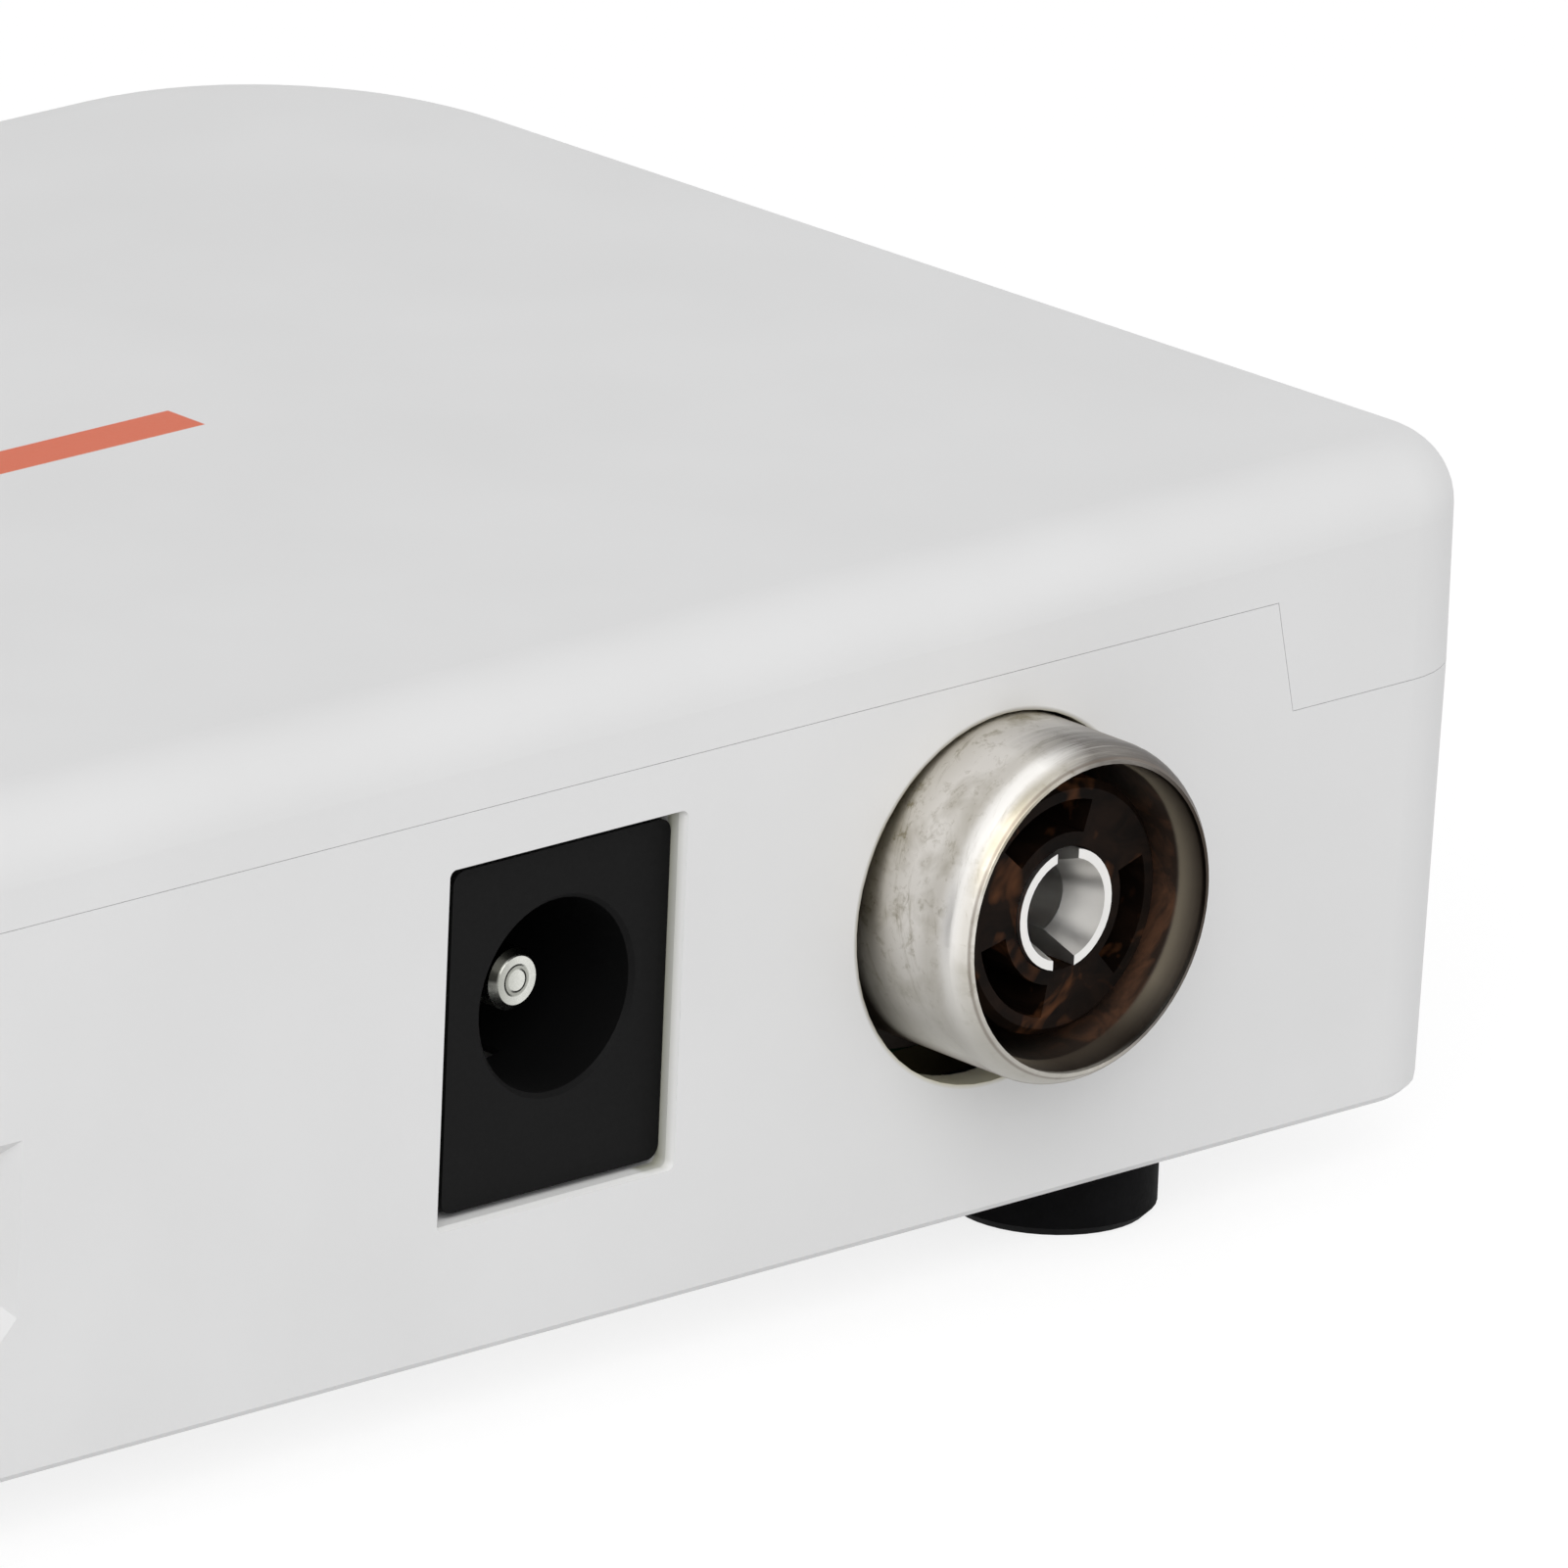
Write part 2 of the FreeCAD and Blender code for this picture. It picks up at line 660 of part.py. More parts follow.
def make_antenna_insulator():
    """Brown moulded plug on a base disc, with three curved pockets round the centre contact."""
    base_radius = sleeve_bore_radius - insulator_fit
    hub_front = sleeve_front_y - insulator_hub_setback
    rear = tuner_rear_y
    base_front = rear + insulator_base_thickness
    spigot_end = rear - insulator_spigot_length
    hole = contact_radius + insulator_fit
    plug = turned([
        (hole, spigot_end), (insulator_spigot_radius, spigot_end), (insulator_spigot_radius, rear),
        (base_radius, rear), (base_radius, base_front), (insulator_hub_radius, base_front),
        (insulator_hub_radius, hub_front - insulator_edge_chamfer),
        (insulator_hub_radius - insulator_edge_chamfer, hub_front), (hole, hub_front),
    ], antenna_x, antenna_z)
    floor = hub_front - insulator_pocket_depth
    pocket_section = [
        (insulator_pocket_inner_radius, floor), (insulator_pocket_outer_radius, floor),
        (insulator_pocket_outer_radius, hub_front + 1), (insulator_pocket_inner_radius, hub_front + 1),
    ]
    pocket = turned(pocket_section, antenna_x, antenna_z, insulator_pocket_sweep)
    pockets = []
    for index in range(insulator_pocket_count):
        turn = insulator_pocket_start + index * 360 / insulator_pocket_count
        copy = pocket.copy()
        copy.rotate(Vector(antenna_x, 0, antenna_z), Vector(0, -1, 0), turn)
        pockets.append(copy)
    return plug.cut(Part.makeCompound(pockets))


def make_antenna_contact():
    """Split centre contact with a flared mouth and a solder tail."""
    tip = sleeve_front_y - contact_tip_depth
    rear = tuner_rear_y - insulator_spigot_length
    tail_end = rear - contact_tail_length
    bore_end = tip - contact_lead_in - contact_bore_length
    contact = turned([
        (0, tail_end), (contact_tail_radius, tail_end), (contact_tail_radius, rear), (contact_radius, rear),
        (contact_radius, tip), (contact_mouth_radius, tip), (contact_bore_radius, tip - contact_lead_in),
        (contact_bore_radius, bore_end), (0, bore_end),
    ], antenna_x, antenna_z)
    half = contact_slot_width / 2
    reach = contact_radius + 1
    slot = block(antenna_x - half, antenna_x + half, tip - contact_slot_length, tip + 1,
                 antenna_z - reach, antenna_z + reach)
    return contact.cut(slot)


def make_tuner_frame():
    """Folded sheet frame of the tuner, open above and below, with solder tabs."""
    half = tuner_width / 2
    frame = block(antenna_x - half, antenna_x + half, tuner_front_y, tuner_rear_y, board_top, tuner_top)
    inner = block(antenna_x - half + tuner_sheet, antenna_x + half - tuner_sheet,
                  tuner_front_y + tuner_sheet, tuner_rear_y - tuner_sheet, board_top - 1, tuner_top + 1)
    hole_radius = insulator_spigot_radius + insulator_fit
    hole = Part.makeCylinder(hole_radius, 2 * tuner_sheet + 1,
                             Vector(antenna_x, tuner_rear_y - tuner_sheet - 0.5, antenna_z), Vector(0, 1, 0))
    tabs = []
    for x, y in tuner_tab_places():
        tabs.append(block(x - tuner_sheet / 2, x + tuner_sheet / 2, y - tuner_tab_width / 2,
                          y + tuner_tab_width / 2, board_bottom - solder_tail, board_top + 1))
    return joined([frame.cut(inner)] + tabs).cut(hole)


def make_tuner_lid():
    """Pressed lid of the tuner with a skirt round the frame and a row of trimming holes."""
    half = tuner_width / 2 + tuner_lid_clearance
    y_low = tuner_front_y - tuner_lid_clearance
    y_high = tuner_rear_y + tuner_lid_clearance
    low = tuner_top - tuner_lid_skirt
    sheet = tuner_sheet
    lid = block(antenna_x - half - sheet, antenna_x + half + sheet, y_low - sheet, y_high + sheet,
                low, tuner_top + sheet)
    lid = lid.makeFillet(sheet, upright_edges(lid, lambda y: True))
    lid = lid.cut(block(antenna_x - half, antenna_x + half, y_low, y_high, low - 1, tuner_top))
    flange_top = antenna_z + sleeve_flange_radius + tuner_lid_clearance
    notch_half = sleeve_flange_radius
    notch = block(antenna_x - notch_half, antenna_x + notch_half, tuner_rear_y, y_high + sheet + 1,
                  low - 1, max(flange_top, low))
    holes = []
    for index in range(tuner_coil_count):
        y = tuner_coil_y(index)
        holes.append(post(antenna_x, y, tuner_top - 1, tuner_top + 1, tuner_hole_radius))
    return lid.cut(Part.makeCompound([notch] + holes))


def tuner_coil_y(index):
    """Place along the tuner of one coil."""
    return tuner_front_y + tuner_length * (tuner_coil_first_share + index * tuner_coil_pitch_share)


def make_tuner_board():
    """Inner board of the tuner, soldered to the frame at the height of the centre contact."""
    edge = tuner_sheet + tuner_board_clearance
    half = tuner_width / 2 - edge
    board = block(antenna_x - half, antenna_x + half, tuner_front_y + edge, tuner_rear_y - edge,
                  tuner_board_top - tuner_board_thickness, tuner_board_top)
    notch_radius = contact_radius + tuner_board_notch_margin
    notch_y = tuner_rear_y - tuner_sheet - insulator_spigot_length
    notch = Part.makeCylinder(notch_radius, insulator_spigot_length,
                              Vector(antenna_x, notch_y, antenna_z), Vector(0, 1, 0))
    return board.cut(notch)


def make_tuner_chip():
    """Square tuner chip."""
    middle = tuner_front_y + tuner_length * tuner_chip_share
    half = tuner_chip_size / 2
    return block(antenna_x - half, antenna_x + half, middle - half, middle + half,
                 tuner_board_top, tuner_board_top + tuner_chip_height)


def make_tuner_coils():
    """Row of small tuning coils, each on a square bobbin with a bore for its core."""
    coils = []
    half = tuner_coil_size / 2
    top = tuner_board_top + tuner_coil_height
    for index in range(tuner_coil_count):
        y = tuner_coil_y(index)
        coil = block(antenna_x - half, antenna_x + half, y - half, y + half, tuner_board_top, top)
        bore = post(antenna_x, y, tuner_board_top + tuner_coil_floor, top + 1, tuner_coil_bore)
        coils.append(coil.cut(bore))
    return Part.makeCompound(coils)


def make_jack_body():
    """Moulded body of the supply socket."""
    body = block(jack_x - jack_width / 2, jack_x + jack_width / 2, jack_face_y - jack_length, jack_face_y,
                 board_top, board_top + jack_height)
    long_edges = [e for e in body.Edges if e.BoundBox.YLength > 0.9 * jack_length]
    body = body.makeFillet(jack_edge_round, long_edges)
    bore = turned([
        (0, jack_face_y - jack_bore_depth), (jack_bore_radius, jack_face_y - jack_bore_depth),
        (jack_bore_radius, jack_face_y - jack_mouth_chamfer),
        (jack_bore_radius + 2 * jack_mouth_chamfer, jack_face_y + jack_mouth_chamfer),
        (0, jack_face_y + jack_mouth_chamfer),
    ], jack_x, jack_z)
    collar = Part.makeCylinder(jack_collar_radius, jack_collar_length,
                               Vector(jack_x, jack_face_y - jack_bore_depth - cut_overlap, jack_z),
                               Vector(0, 1, 0))
    pin_hole = Part.makeCylinder(jack_pin_base_radius, jack_length + 1,
                                 Vector(jack_x, jack_face_y - jack_length - 0.5, jack_z), Vector(0, 1, 0))
    spring_low = jack_z - jack_bore_radius - jack_spring_thickness
    leg_y = jack_terminal_places()[1][1]
    room = jack_spring_clearance
    channel = block(jack_x - jack_spring_width / 2 - room, jack_x + jack_spring_width / 2 + room,
                    jack_face_y - jack_length - 1, leg_y + jack_spring_length + room,
                    spring_low - room / 2, jack_z - jack_bore_radius + 2 * room)
    relief = block(jack_x - jack_width / 2 - 1, jack_x + jack_width / 2 + 1,
                   jack_face_y - jack_length - 1, jack_face_y - jack_length + jack_relief_length,
                   board_top - 1, spring_low - room / 2)
    leg_room = jack_terminal_thickness
    step_half = (jack_terminal_width + leg_room) / 2
    step = block(jack_x - step_half, jack_x + step_half, leg_y - leg_room, leg_y + leg_room,
                 board_top - 1, spring_low + cut_overlap)
    return body.cut(bore).fuse(collar).cut(Part.makeCompound([pin_hole, channel, relief, step]))


def make_jack_pin():
    """Centre pin with a chamfered tip and a thicker base that is held in the body."""
    tip = jack_face_y - jack_pin_setback
    rear = jack_face_y - jack_length - jack_terminal_thickness
    base_front = jack_face_y - jack_bore_depth + jack_collar_length
    nose = jack_pin_radius - jack_pin_chamfer
    return turned([
        (0, rear), (jack_pin_base_radius, rear), (jack_pin_base_radius, base_front),
        (jack_pin_radius, base_front), (jack_pin_radius, tip - jack_pin_chamfer), (nose, tip), (0, tip),
    ], jack_x, jack_z)


def make_jack_terminals():
    """Rear plate that the centre pin is riveted to, and the side leaf that bears on the plug."""
    back = jack_face_y - jack_length
    half = jack_terminal_width / 2
    thickness = jack_terminal_thickness
    plate = block(jack_x - half - jack_plate_side, jack_x + half + jack_plate_side, back - thickness, back,
                  jack_z - jack_bore_radius - jack_plate_drop, jack_z + jack_plate_rise)
    hole = Part.makeCylinder(jack_pin_base_radius, 2, Vector(jack_x, back - 1, jack_z), Vector(0, 1, 0))
    foot_y = jack_terminal_places()[0][1]
    foot_z = jack_z - jack_bore_radius - jack_plate_drop
    shelf = block(jack_x - half, jack_x + half, back - thickness, foot_y + thickness / 2,
                  foot_z, foot_z + thickness)
    leg = block(jack_x - half, jack_x + half, foot_y - thickness / 2, foot_y + thickness / 2,
                board_bottom - solder_tail, foot_z + thickness)
    spring_low = jack_z - jack_bore_radius - jack_spring_thickness
    leaf_y = jack_terminal_places()[1][1]
    leaf = block(jack_x - jack_spring_width / 2, jack_x + jack_spring_width / 2,
                 leaf_y - thickness / 2, leaf_y + jack_spring_length,
                 spring_low, spring_low + jack_spring_thickness)
    leaf_leg = block(jack_x - half, jack_x + half, leaf_y - thickness / 2, leaf_y + thickness / 2,
                     board_bottom - solder_tail, spring_low + jack_spring_thickness)
    return Part.makeCompound([joined([plate.cut(hole), shelf, leg]), joined([leaf, leaf_leg])])


def make_video_shell():
    """Folded steel shell of the video socket."""
    outer = rear_profile(video_outline(0), video_face_y - video_length, video_face_y)
    bore = rear_profile(video_outline(-video_sheet), video_face_y - video_length + video_sheet,
                        video_face_y + 1)
    return outer.cut(bore)


def make_video_insulator():
    """Moulded base and tongue that carry the contacts of the video socket."""
    fit = insulator_fit
    back = video_face_y - video_length + video_sheet + fit
    base = rear_profile(video_outline(-video_sheet - fit), back, back + video_base_length)
    half = video_tongue_width / 2
    middle = (board_top + video_top) / 2
    tongue = block(video_x - half, video_x + half, back, video_face_y - video_tongue_setback,
                   middle - video_tongue_thickness / 2, middle + video_tongue_thickness / 2)
    front = [e for e in tongue.Edges if e.BoundBox.YMin > video_face_y - video_tongue_setback - 1e-6
             and e.BoundBox.XLength > 1]
    return base.fuse(tongue.makeChamfer(video_tongue_chamfer, front)).removeSplitter()


def make_video_contacts():
    """Contact strips on both faces of the tongue, ten above and nine below."""
    middle = (board_top + video_top) / 2
    back = video_face_y - video_length + video_sheet + insulator_fit + video_base_length
    front = video_face_y - video_tongue_setback - video_contact_setback
    strips = []
    for row, count in ((1, video_contact_count), (-1, video_contact_count - 1)):
        face = middle + row * video_tongue_thickness / 2
        low, high = sorted((face, face + row * video_contact_thickness))
        for index in range(count):
            x = video_x + (index - (count - 1) / 2) * video_contact_pitch
            strips.append(block(x - video_contact_width / 2, x + video_contact_width / 2,
                                back, front, low, high))
    return Part.makeCompound(strips)


def make_front_window():
    """Dark window pressed into the front wall, with an inner flange."""
    low = case_bottom + window_sill + window_clearance
    high = case_bottom + window_sill + window_height - window_clearance
    half = window_width / 2 - window_clearance
    outer_draft = lower_draft * (1 - window_sill / parting_height)
    face = front_y + outer_draft + window_set_in
    flange_rise = (low - window_flange - case_bottom) / parting_height
    inner_wall = front_y + case_wall + lower_draft * (1 - flange_rise)
    pane = block(window_x - half, window_x + half, face, inner_wall + window_flange_thickness, low, high)
    flange = block(window_x - half - window_flange, window_x + half + window_flange,
                   inner_wall, inner_wall + window_flange_thickness,
                   low - window_flange, high + window_flange)
    return joined([pane, flange])


def make_infrared_receiver():
    """Remote-control receiver that stands on the board's front edge behind the window."""
    x = window_x - receiver_offset
    y = board_front_y + front_part_margin + receiver_depth / 2
    body = block(x - receiver_width / 2, x + receiver_width / 2, y - receiver_depth / 2,
                 y + receiver_depth / 2, board_top, board_top + receiver_height)
    lens_z = case_bottom + window_sill + window_height / 2
    tip_radius = receiver_lens_radius - receiver_lens_taper
    lens = Part.makeCone(receiver_lens_radius, tip_radius, receiver_lens_depth,
                         Vector(x, y - receiver_depth / 2, lens_z), Vector(0, -1, 0))
    return body.fuse(lens)


def make_status_light():
    """Small round power light beside the receiver."""
    x = window_x + receiver_offset
    y = board_front_y + front_part_margin + light_rim_radius
    rim_top = board_top + light_rim_height
    top = board_top + light_height
    shoulder = top - light_dome_height
    half = light_radius / 2
    return turned_upright([
        (0, board_top), (light_rim_radius, board_top), (light_rim_radius, rim_top), (light_radius, rim_top),
        (light_radius, shoulder), (half, top), (0, top),
    ], x, y)


def make_video_chip():
    """Main video chip with leads on four sides."""
    half = video_chip_size / 2
    x, y = video_chip_x, video_chip_y
    lift = video_chip_lift
    top = board_top + lift + video_chip_height
    body = block(x - half, x + half, y - half, y + half, board_top + lift, top)
    body = body.makeChamfer(video_chip_bevel, level_edges(body, top))
    leads = []
    for side in range(4):
        for index in range(video_chip_lead_count):
            across = (index - (video_chip_lead_count - 1) / 2) * video_chip_lead_pitch
            lead = block(x + across - video_chip_lead_width / 2, x + across + video_chip_lead_width / 2,
                         y + half - 0.2, y + half + video_chip_lead_length,
                         board_top, board_top + lift + video_chip_lead_thickness)
            lead.rotate(Vector(x, y, 0), Vector(0, 0, 1), 90 * side)
            leads.append(lead)
    return joined([body] + leads)


def make_memory_chip():
    """Flat memory chip."""
    half = memory_chip_length / 2
    chip = block(memory_chip_x - half, memory_chip_x + half, memory_chip_front_y, memory_chip_rear_y,
                 board_top, board_top + memory_chip_height)
    return chip.makeChamfer(memory_chip_bevel, level_edges(chip, board_top + memory_chip_height))


def make_program_chip():
    """Small chip that holds the program."""
    x = program_chip_x
    half_x = program_chip_width / 2
    half_y = program_chip_length / 2
    y = program_chip_y
    chip = block(x - half_x, x + half_x, y - half_y, y + half_y, board_top, board_top + program_chip_height)
    return chip.makeChamfer(video_chip_bevel, level_edges(chip, board_top + program_chip_height))


def make_crystal():
    """Crystal in a drawn metal can on a rimmed base."""
    x = crystal_x
    y = crystal_y

    def slab(width, length, z_low, z_high):
        body = block(x - width / 2, x + width / 2, y - length / 2, y + length / 2, z_low, z_high)
        return body.makeFillet(crystal_end_share * width, upright_edges(body, lambda value: True))

    base = slab(crystal_width + 2 * crystal_base_rim, crystal_length + 2 * crystal_base_rim,
                board_top, board_top + crystal_base_height)
    can = slab(crystal_width, crystal_length, board_top, board_top + crystal_height)
    return joined([base, can])


def make_capacitors():
    """Row of electrolytic capacitors behind the supply socket."""
    r = capacitor_radius
    top = board_top + capacitor_height
    outline = [(0, board_top), (r, board_top), (r, top - capacitor_rim), (r - capacitor_rim, top), (0, top)]
    return Part.makeCompound([
        turned_upright(outline, jack_x + (index - 0.5) * capacitor_pitch, capacitor_y)
        for index in range(capacitor_count)
    ])


def make_inductors():
    """Two square power inductors, each with a round core."""
    parts = []
    for index in range(inductor_count):
        x = inductor_x
        y = inductor_y - index * inductor_pitch
        half = inductor_size / 2
        base = block(x - half, x + half, y - half, y + half, board_top, board_top + inductor_height)
        base = base.makeChamfer(inductor_corner, upright_edges(base, lambda value: True))
        core_top = board_top + inductor_height + inductor_core_rise
        parts.append(base.fuse(post(x, y, board_top + inductor_height, core_top, inductor_core_radius)))
    return Part.makeCompound(parts)


def make_regulator():
    """Voltage regulator with a wide cooling tab and three legs."""
    x = regulator_x
    y = regulator_y
    body = block(x - regulator_length / 2, x + regulator_length / 2, y - regulator_width / 2,
                 y + regulator_width / 2, board_top, board_top + regulator_height)
    body = body.makeChamfer(video_chip_bevel, level_edges(body, board_top + regulator_height))
    pieces = [body]
    half_tab = regulator_tab_width / 2
    half_leg = regulator_leg_width / 2
    rear = y + regulator_width / 2
    front = y - regulator_width / 2
    sheet = regulator_leg_thickness
    pieces.append(block(x - half_tab, x + half_tab, rear - sheet, rear + regulator_tab_length,
                        board_top, board_top + sheet))
    for index in (-1, 0, 1):
        leg_x = x + index * regulator_leg_pitch
        pieces.append(block(leg_x - half_leg, leg_x + half_leg, front - regulator_tab_length, front + sheet,
                            board_top, board_top + sheet))
    return joined(pieces)


def make_chip_capacitors():
    """Two rows of small ceramic capacitors beside the video chip."""
    parts = []
    offset = chip_capacitor_offset
    for side in (-1, 1):
        for index in range(chip_capacitor_count):
            x = video_chip_x + (index - (chip_capacitor_count - 1) / 2) * chip_capacitor_pitch
            y = video_chip_y + side * offset
            parts.append(block(x - chip_capacitor_width / 2, x + chip_capacitor_width / 2,
                               y - chip_capacitor_length / 2, y + chip_capacitor_length / 2,
                               board_top, board_top + chip_capacitor_width))
    return Part.makeCompound(parts)


parts = {
    "bottom_shell": make_bottom_shell,
    "top_shell": make_top_shell,
    "rubber_feet": make_feet,
    "case_screws": make_case_screws,
    "circuit_board": make_circuit_board,
    "board_screws": make_board_screws,
    "antenna_sleeve": make_antenna_sleeve,
    "antenna_insulator": make_antenna_insulator,
    "antenna_contact": make_antenna_contact,
    "tuner_frame": make_tuner_frame,
    "tuner_lid": make_tuner_lid,
    "tuner_board": make_tuner_board,
    "tuner_chip": make_tuner_chip,
    "tuner_coils": make_tuner_coils,
    "power_jack_body": make_jack_body,
    "power_jack_pin": make_jack_pin,
    "power_jack_terminals": make_jack_terminals,
    "video_socket_shell": make_video_shell,
    "video_socket_insulator": make_video_insulator,
    "video_socket_contacts": make_video_contacts,
    "front_window": make_front_window,
    "infrared_receiver": make_infrared_receiver,
    "status_light": make_status_light,
    "video_chip": make_video_chip,
    "memory_chip": make_memory_chip,
    "program_chip": make_program_chip,
    "crystal": make_crystal,
    "capacitors": make_capacitors,
    "inductors": make_inductors,
    "voltage_regulator": make_regulator,
    "chip_capacitors": make_chip_capacitors,
}

os.makedirs("parts", exist_ok=True)
for name, make in parts.items():
    shape = make()
    if not shape.isValid():
        print("not valid:", name)
    shape.exportStep("parts/" + name + ".step")
    print(name, len(shape.Solids), round(shape.Volume, 2))
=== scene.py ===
import math

import bmesh
import bpy
from mathutils import Matrix, Vector


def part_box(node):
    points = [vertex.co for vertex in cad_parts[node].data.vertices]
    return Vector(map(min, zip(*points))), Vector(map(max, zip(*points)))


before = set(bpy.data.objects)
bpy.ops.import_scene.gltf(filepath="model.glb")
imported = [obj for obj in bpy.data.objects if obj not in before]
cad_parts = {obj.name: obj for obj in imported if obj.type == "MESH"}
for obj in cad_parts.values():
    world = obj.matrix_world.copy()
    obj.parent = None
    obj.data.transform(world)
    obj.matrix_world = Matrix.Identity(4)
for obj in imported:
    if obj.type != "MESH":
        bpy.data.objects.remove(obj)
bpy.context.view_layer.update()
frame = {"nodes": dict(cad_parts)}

nodes = frame["nodes"]
MM = 0.001
X, Y, Z = range(3)


def lowest(node, axis):
    """Lowest place of a CAD node along an axis, in mm."""
    return round(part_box(node)[0][axis] / MM, 3)


def highest(node, axis):
    """Highest place of a CAD node along an axis, in mm."""
    return round(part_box(node)[1][axis] / MM, 3)


def middle(node, axis):
    """Middle of a CAD node along an axis, in mm."""
    return (lowest(node, axis) + highest(node, axis)) / 2


# Places on the part, in mm
CASE_BOTTOM_Z = lowest("bottom_shell", Z)
CASE_TOP_Z = highest("top_shell", Z)
REAR_FACE_Y = highest("bottom_shell", Y)
JACK_X = middle("power_jack_pin", X)
JACK_Z = middle("power_jack_pin", Z)
ANTENNA_X = middle("antenna_contact", X)
ANTENNA_Z = middle("antenna_contact", Z)
SLEEVE_FRONT = highest("antenna_sleeve", Y)

# Camera, matched to the photograph: distances in mm, angles in radians.
PHOTO_WIDTH = 1601
FOCAL_PIXELS = 28163.97
CAMERA_TURN = 0.76664
CAMERA_RISE = 0.323121
CAMERA_ROLL = 0.041976
CAMERA_DISTANCE = 842.919
TARGET_PAST_JACK = 8.531654
TARGET_ABOVE_CASE_BOTTOM = 15.941817
SENSOR_WIDTH = 36.0


def from_face(along, above, out):
    """Row-frame direction of a direction measured along, above and out of the rear face."""
    return Vector((-along, out, above))


def make_camera():
    """Puts the camera where the photograph was taken from."""
    turn, rise, roll = CAMERA_TURN, CAMERA_RISE, CAMERA_ROLL
    back = (-math.sin(turn) * math.cos(rise), math.sin(rise), math.cos(turn) * math.cos(rise))
    back = from_face(*back)
    level = from_face(math.cos(turn), 0, math.sin(turn))
    upright = back.cross(level)
    right = math.cos(roll) * level + math.sin(roll) * upright
    top = math.cos(roll) * upright - math.sin(roll) * level
    target = Vector((JACK_X - TARGET_PAST_JACK, REAR_FACE_Y, CASE_BOTTOM_Z + TARGET_ABOVE_CASE_BOTTOM))
    place = (target + CAMERA_DISTANCE * back) * MM
    data = bpy.data.cameras.new("camera")
    data.sensor_width = SENSOR_WIDTH
    data.lens = FOCAL_PIXELS / PHOTO_WIDTH * SENSOR_WIDTH
    data.clip_start = 0.05
    data.clip_end = 20
    camera = bpy.data.objects.new("camera", data)
    bpy.context.scene.collection.objects.link(camera)
    turned = Matrix((right, top, back)).transposed()
    camera.matrix_world = Matrix.Translation(place) @ turned.to_4x4()
    bpy.context.scene.camera = camera


make_camera()


class Value:
    """A shader socket that takes part in arithmetic."""

    def __init__(self, nodes, socket):
        self.nodes = nodes
        self.socket = socket

    def _maths(self, operation, first, second, clamp=False):
        settings = {"operation": operation, "use_clamp": clamp}
        return self.nodes.add("ShaderNodeMath", settings, {0: first, 1: second})

    def __add__(self, other):
        return self._maths("ADD", self, other)

    def __sub__(self, other):
        return self._maths("SUBTRACT", self, other)

    def __rsub__(self, other):
        return self._maths("SUBTRACT", other, self)

    def __mul__(self, other):
        return self._maths("MULTIPLY", self, other)

    __radd__ = __add__
    __rmul__ = __mul__

    def __truediv__(self, other):
        return self._maths("DIVIDE", self, other)

    def __pow__(self, other):
        return self._maths("POWER", self, other)

    def size(self):
        """The value without its sign."""
        return self._maths("ABSOLUTE", self, 0.0)

    def below(self, limit, soft):
        """1 where the value is under the limit, 0 above it, with a soft edge."""
        return self._maths("ADD", (limit - self) / soft, 0.5, clamp=True)

    def above(self, limit, soft):
        """1 where the value is over the limit, 0 under it, with a soft edge."""
        return self._maths("ADD", (self - limit) / soft, 0.5, clamp=True)

    def near(self, centre, reach, soft):
        """1 where the value is within reach of the centre, 0 elsewhere, with a soft edge."""
        return (self - centre).size().below(reach, soft)

    def spread(self, low, high):
        """The value's span from low to high stretched to 0..1 and clamped."""
        return self._maths("MULTIPLY", self - low, 1 / (high - low), clamp=True)

    def toward(self, direction, low, high):
        """For an angle: 1 towards a direction, 0 away from it; low and high are cosines of the turn."""
        turn = self - direction
        return self._maths("COSINE", turn, 0.0).spread(low, high)


class Nodes:
    """A shader node tree that is built by calls."""

    def __init__(self, tree):
        self.tree = tree

    def add(self, kind, settings=None, values=None, output=0):
        """A node of this kind: settings first, then its sockets; gives one of its outputs."""
        node = self.tree.nodes.new(kind)
        for key, setting in (settings or {}).items():
            setattr(node, key, setting)
        for key, value in (values or {}).items():
            self.feed(node.inputs[key], value)
        return Value(self, node.outputs[output])

    def feed(self, socket, value):
        """Links a shader value to a socket, or writes a plain number or colour into it."""
        if isinstance(value, Value):
            self.tree.links.new(value.socket, socket)
        elif isinstance(value, tuple) and socket.type == "RGBA":
            socket.default_value = (*value, 1)
        else:
            socket.default_value = value

    def background_rays(self):
        """1 for rays that see the surroundings as the white background, 0 for those that carry light."""
        seen = self.add("ShaderNodeLightPath", output="Is Camera Ray")
        for kind in ("Is Glossy Ray", "Is Transmission Ray"):
            seen = seen + self.add("ShaderNodeLightPath", output=kind)
        return seen.spread(0, 1)


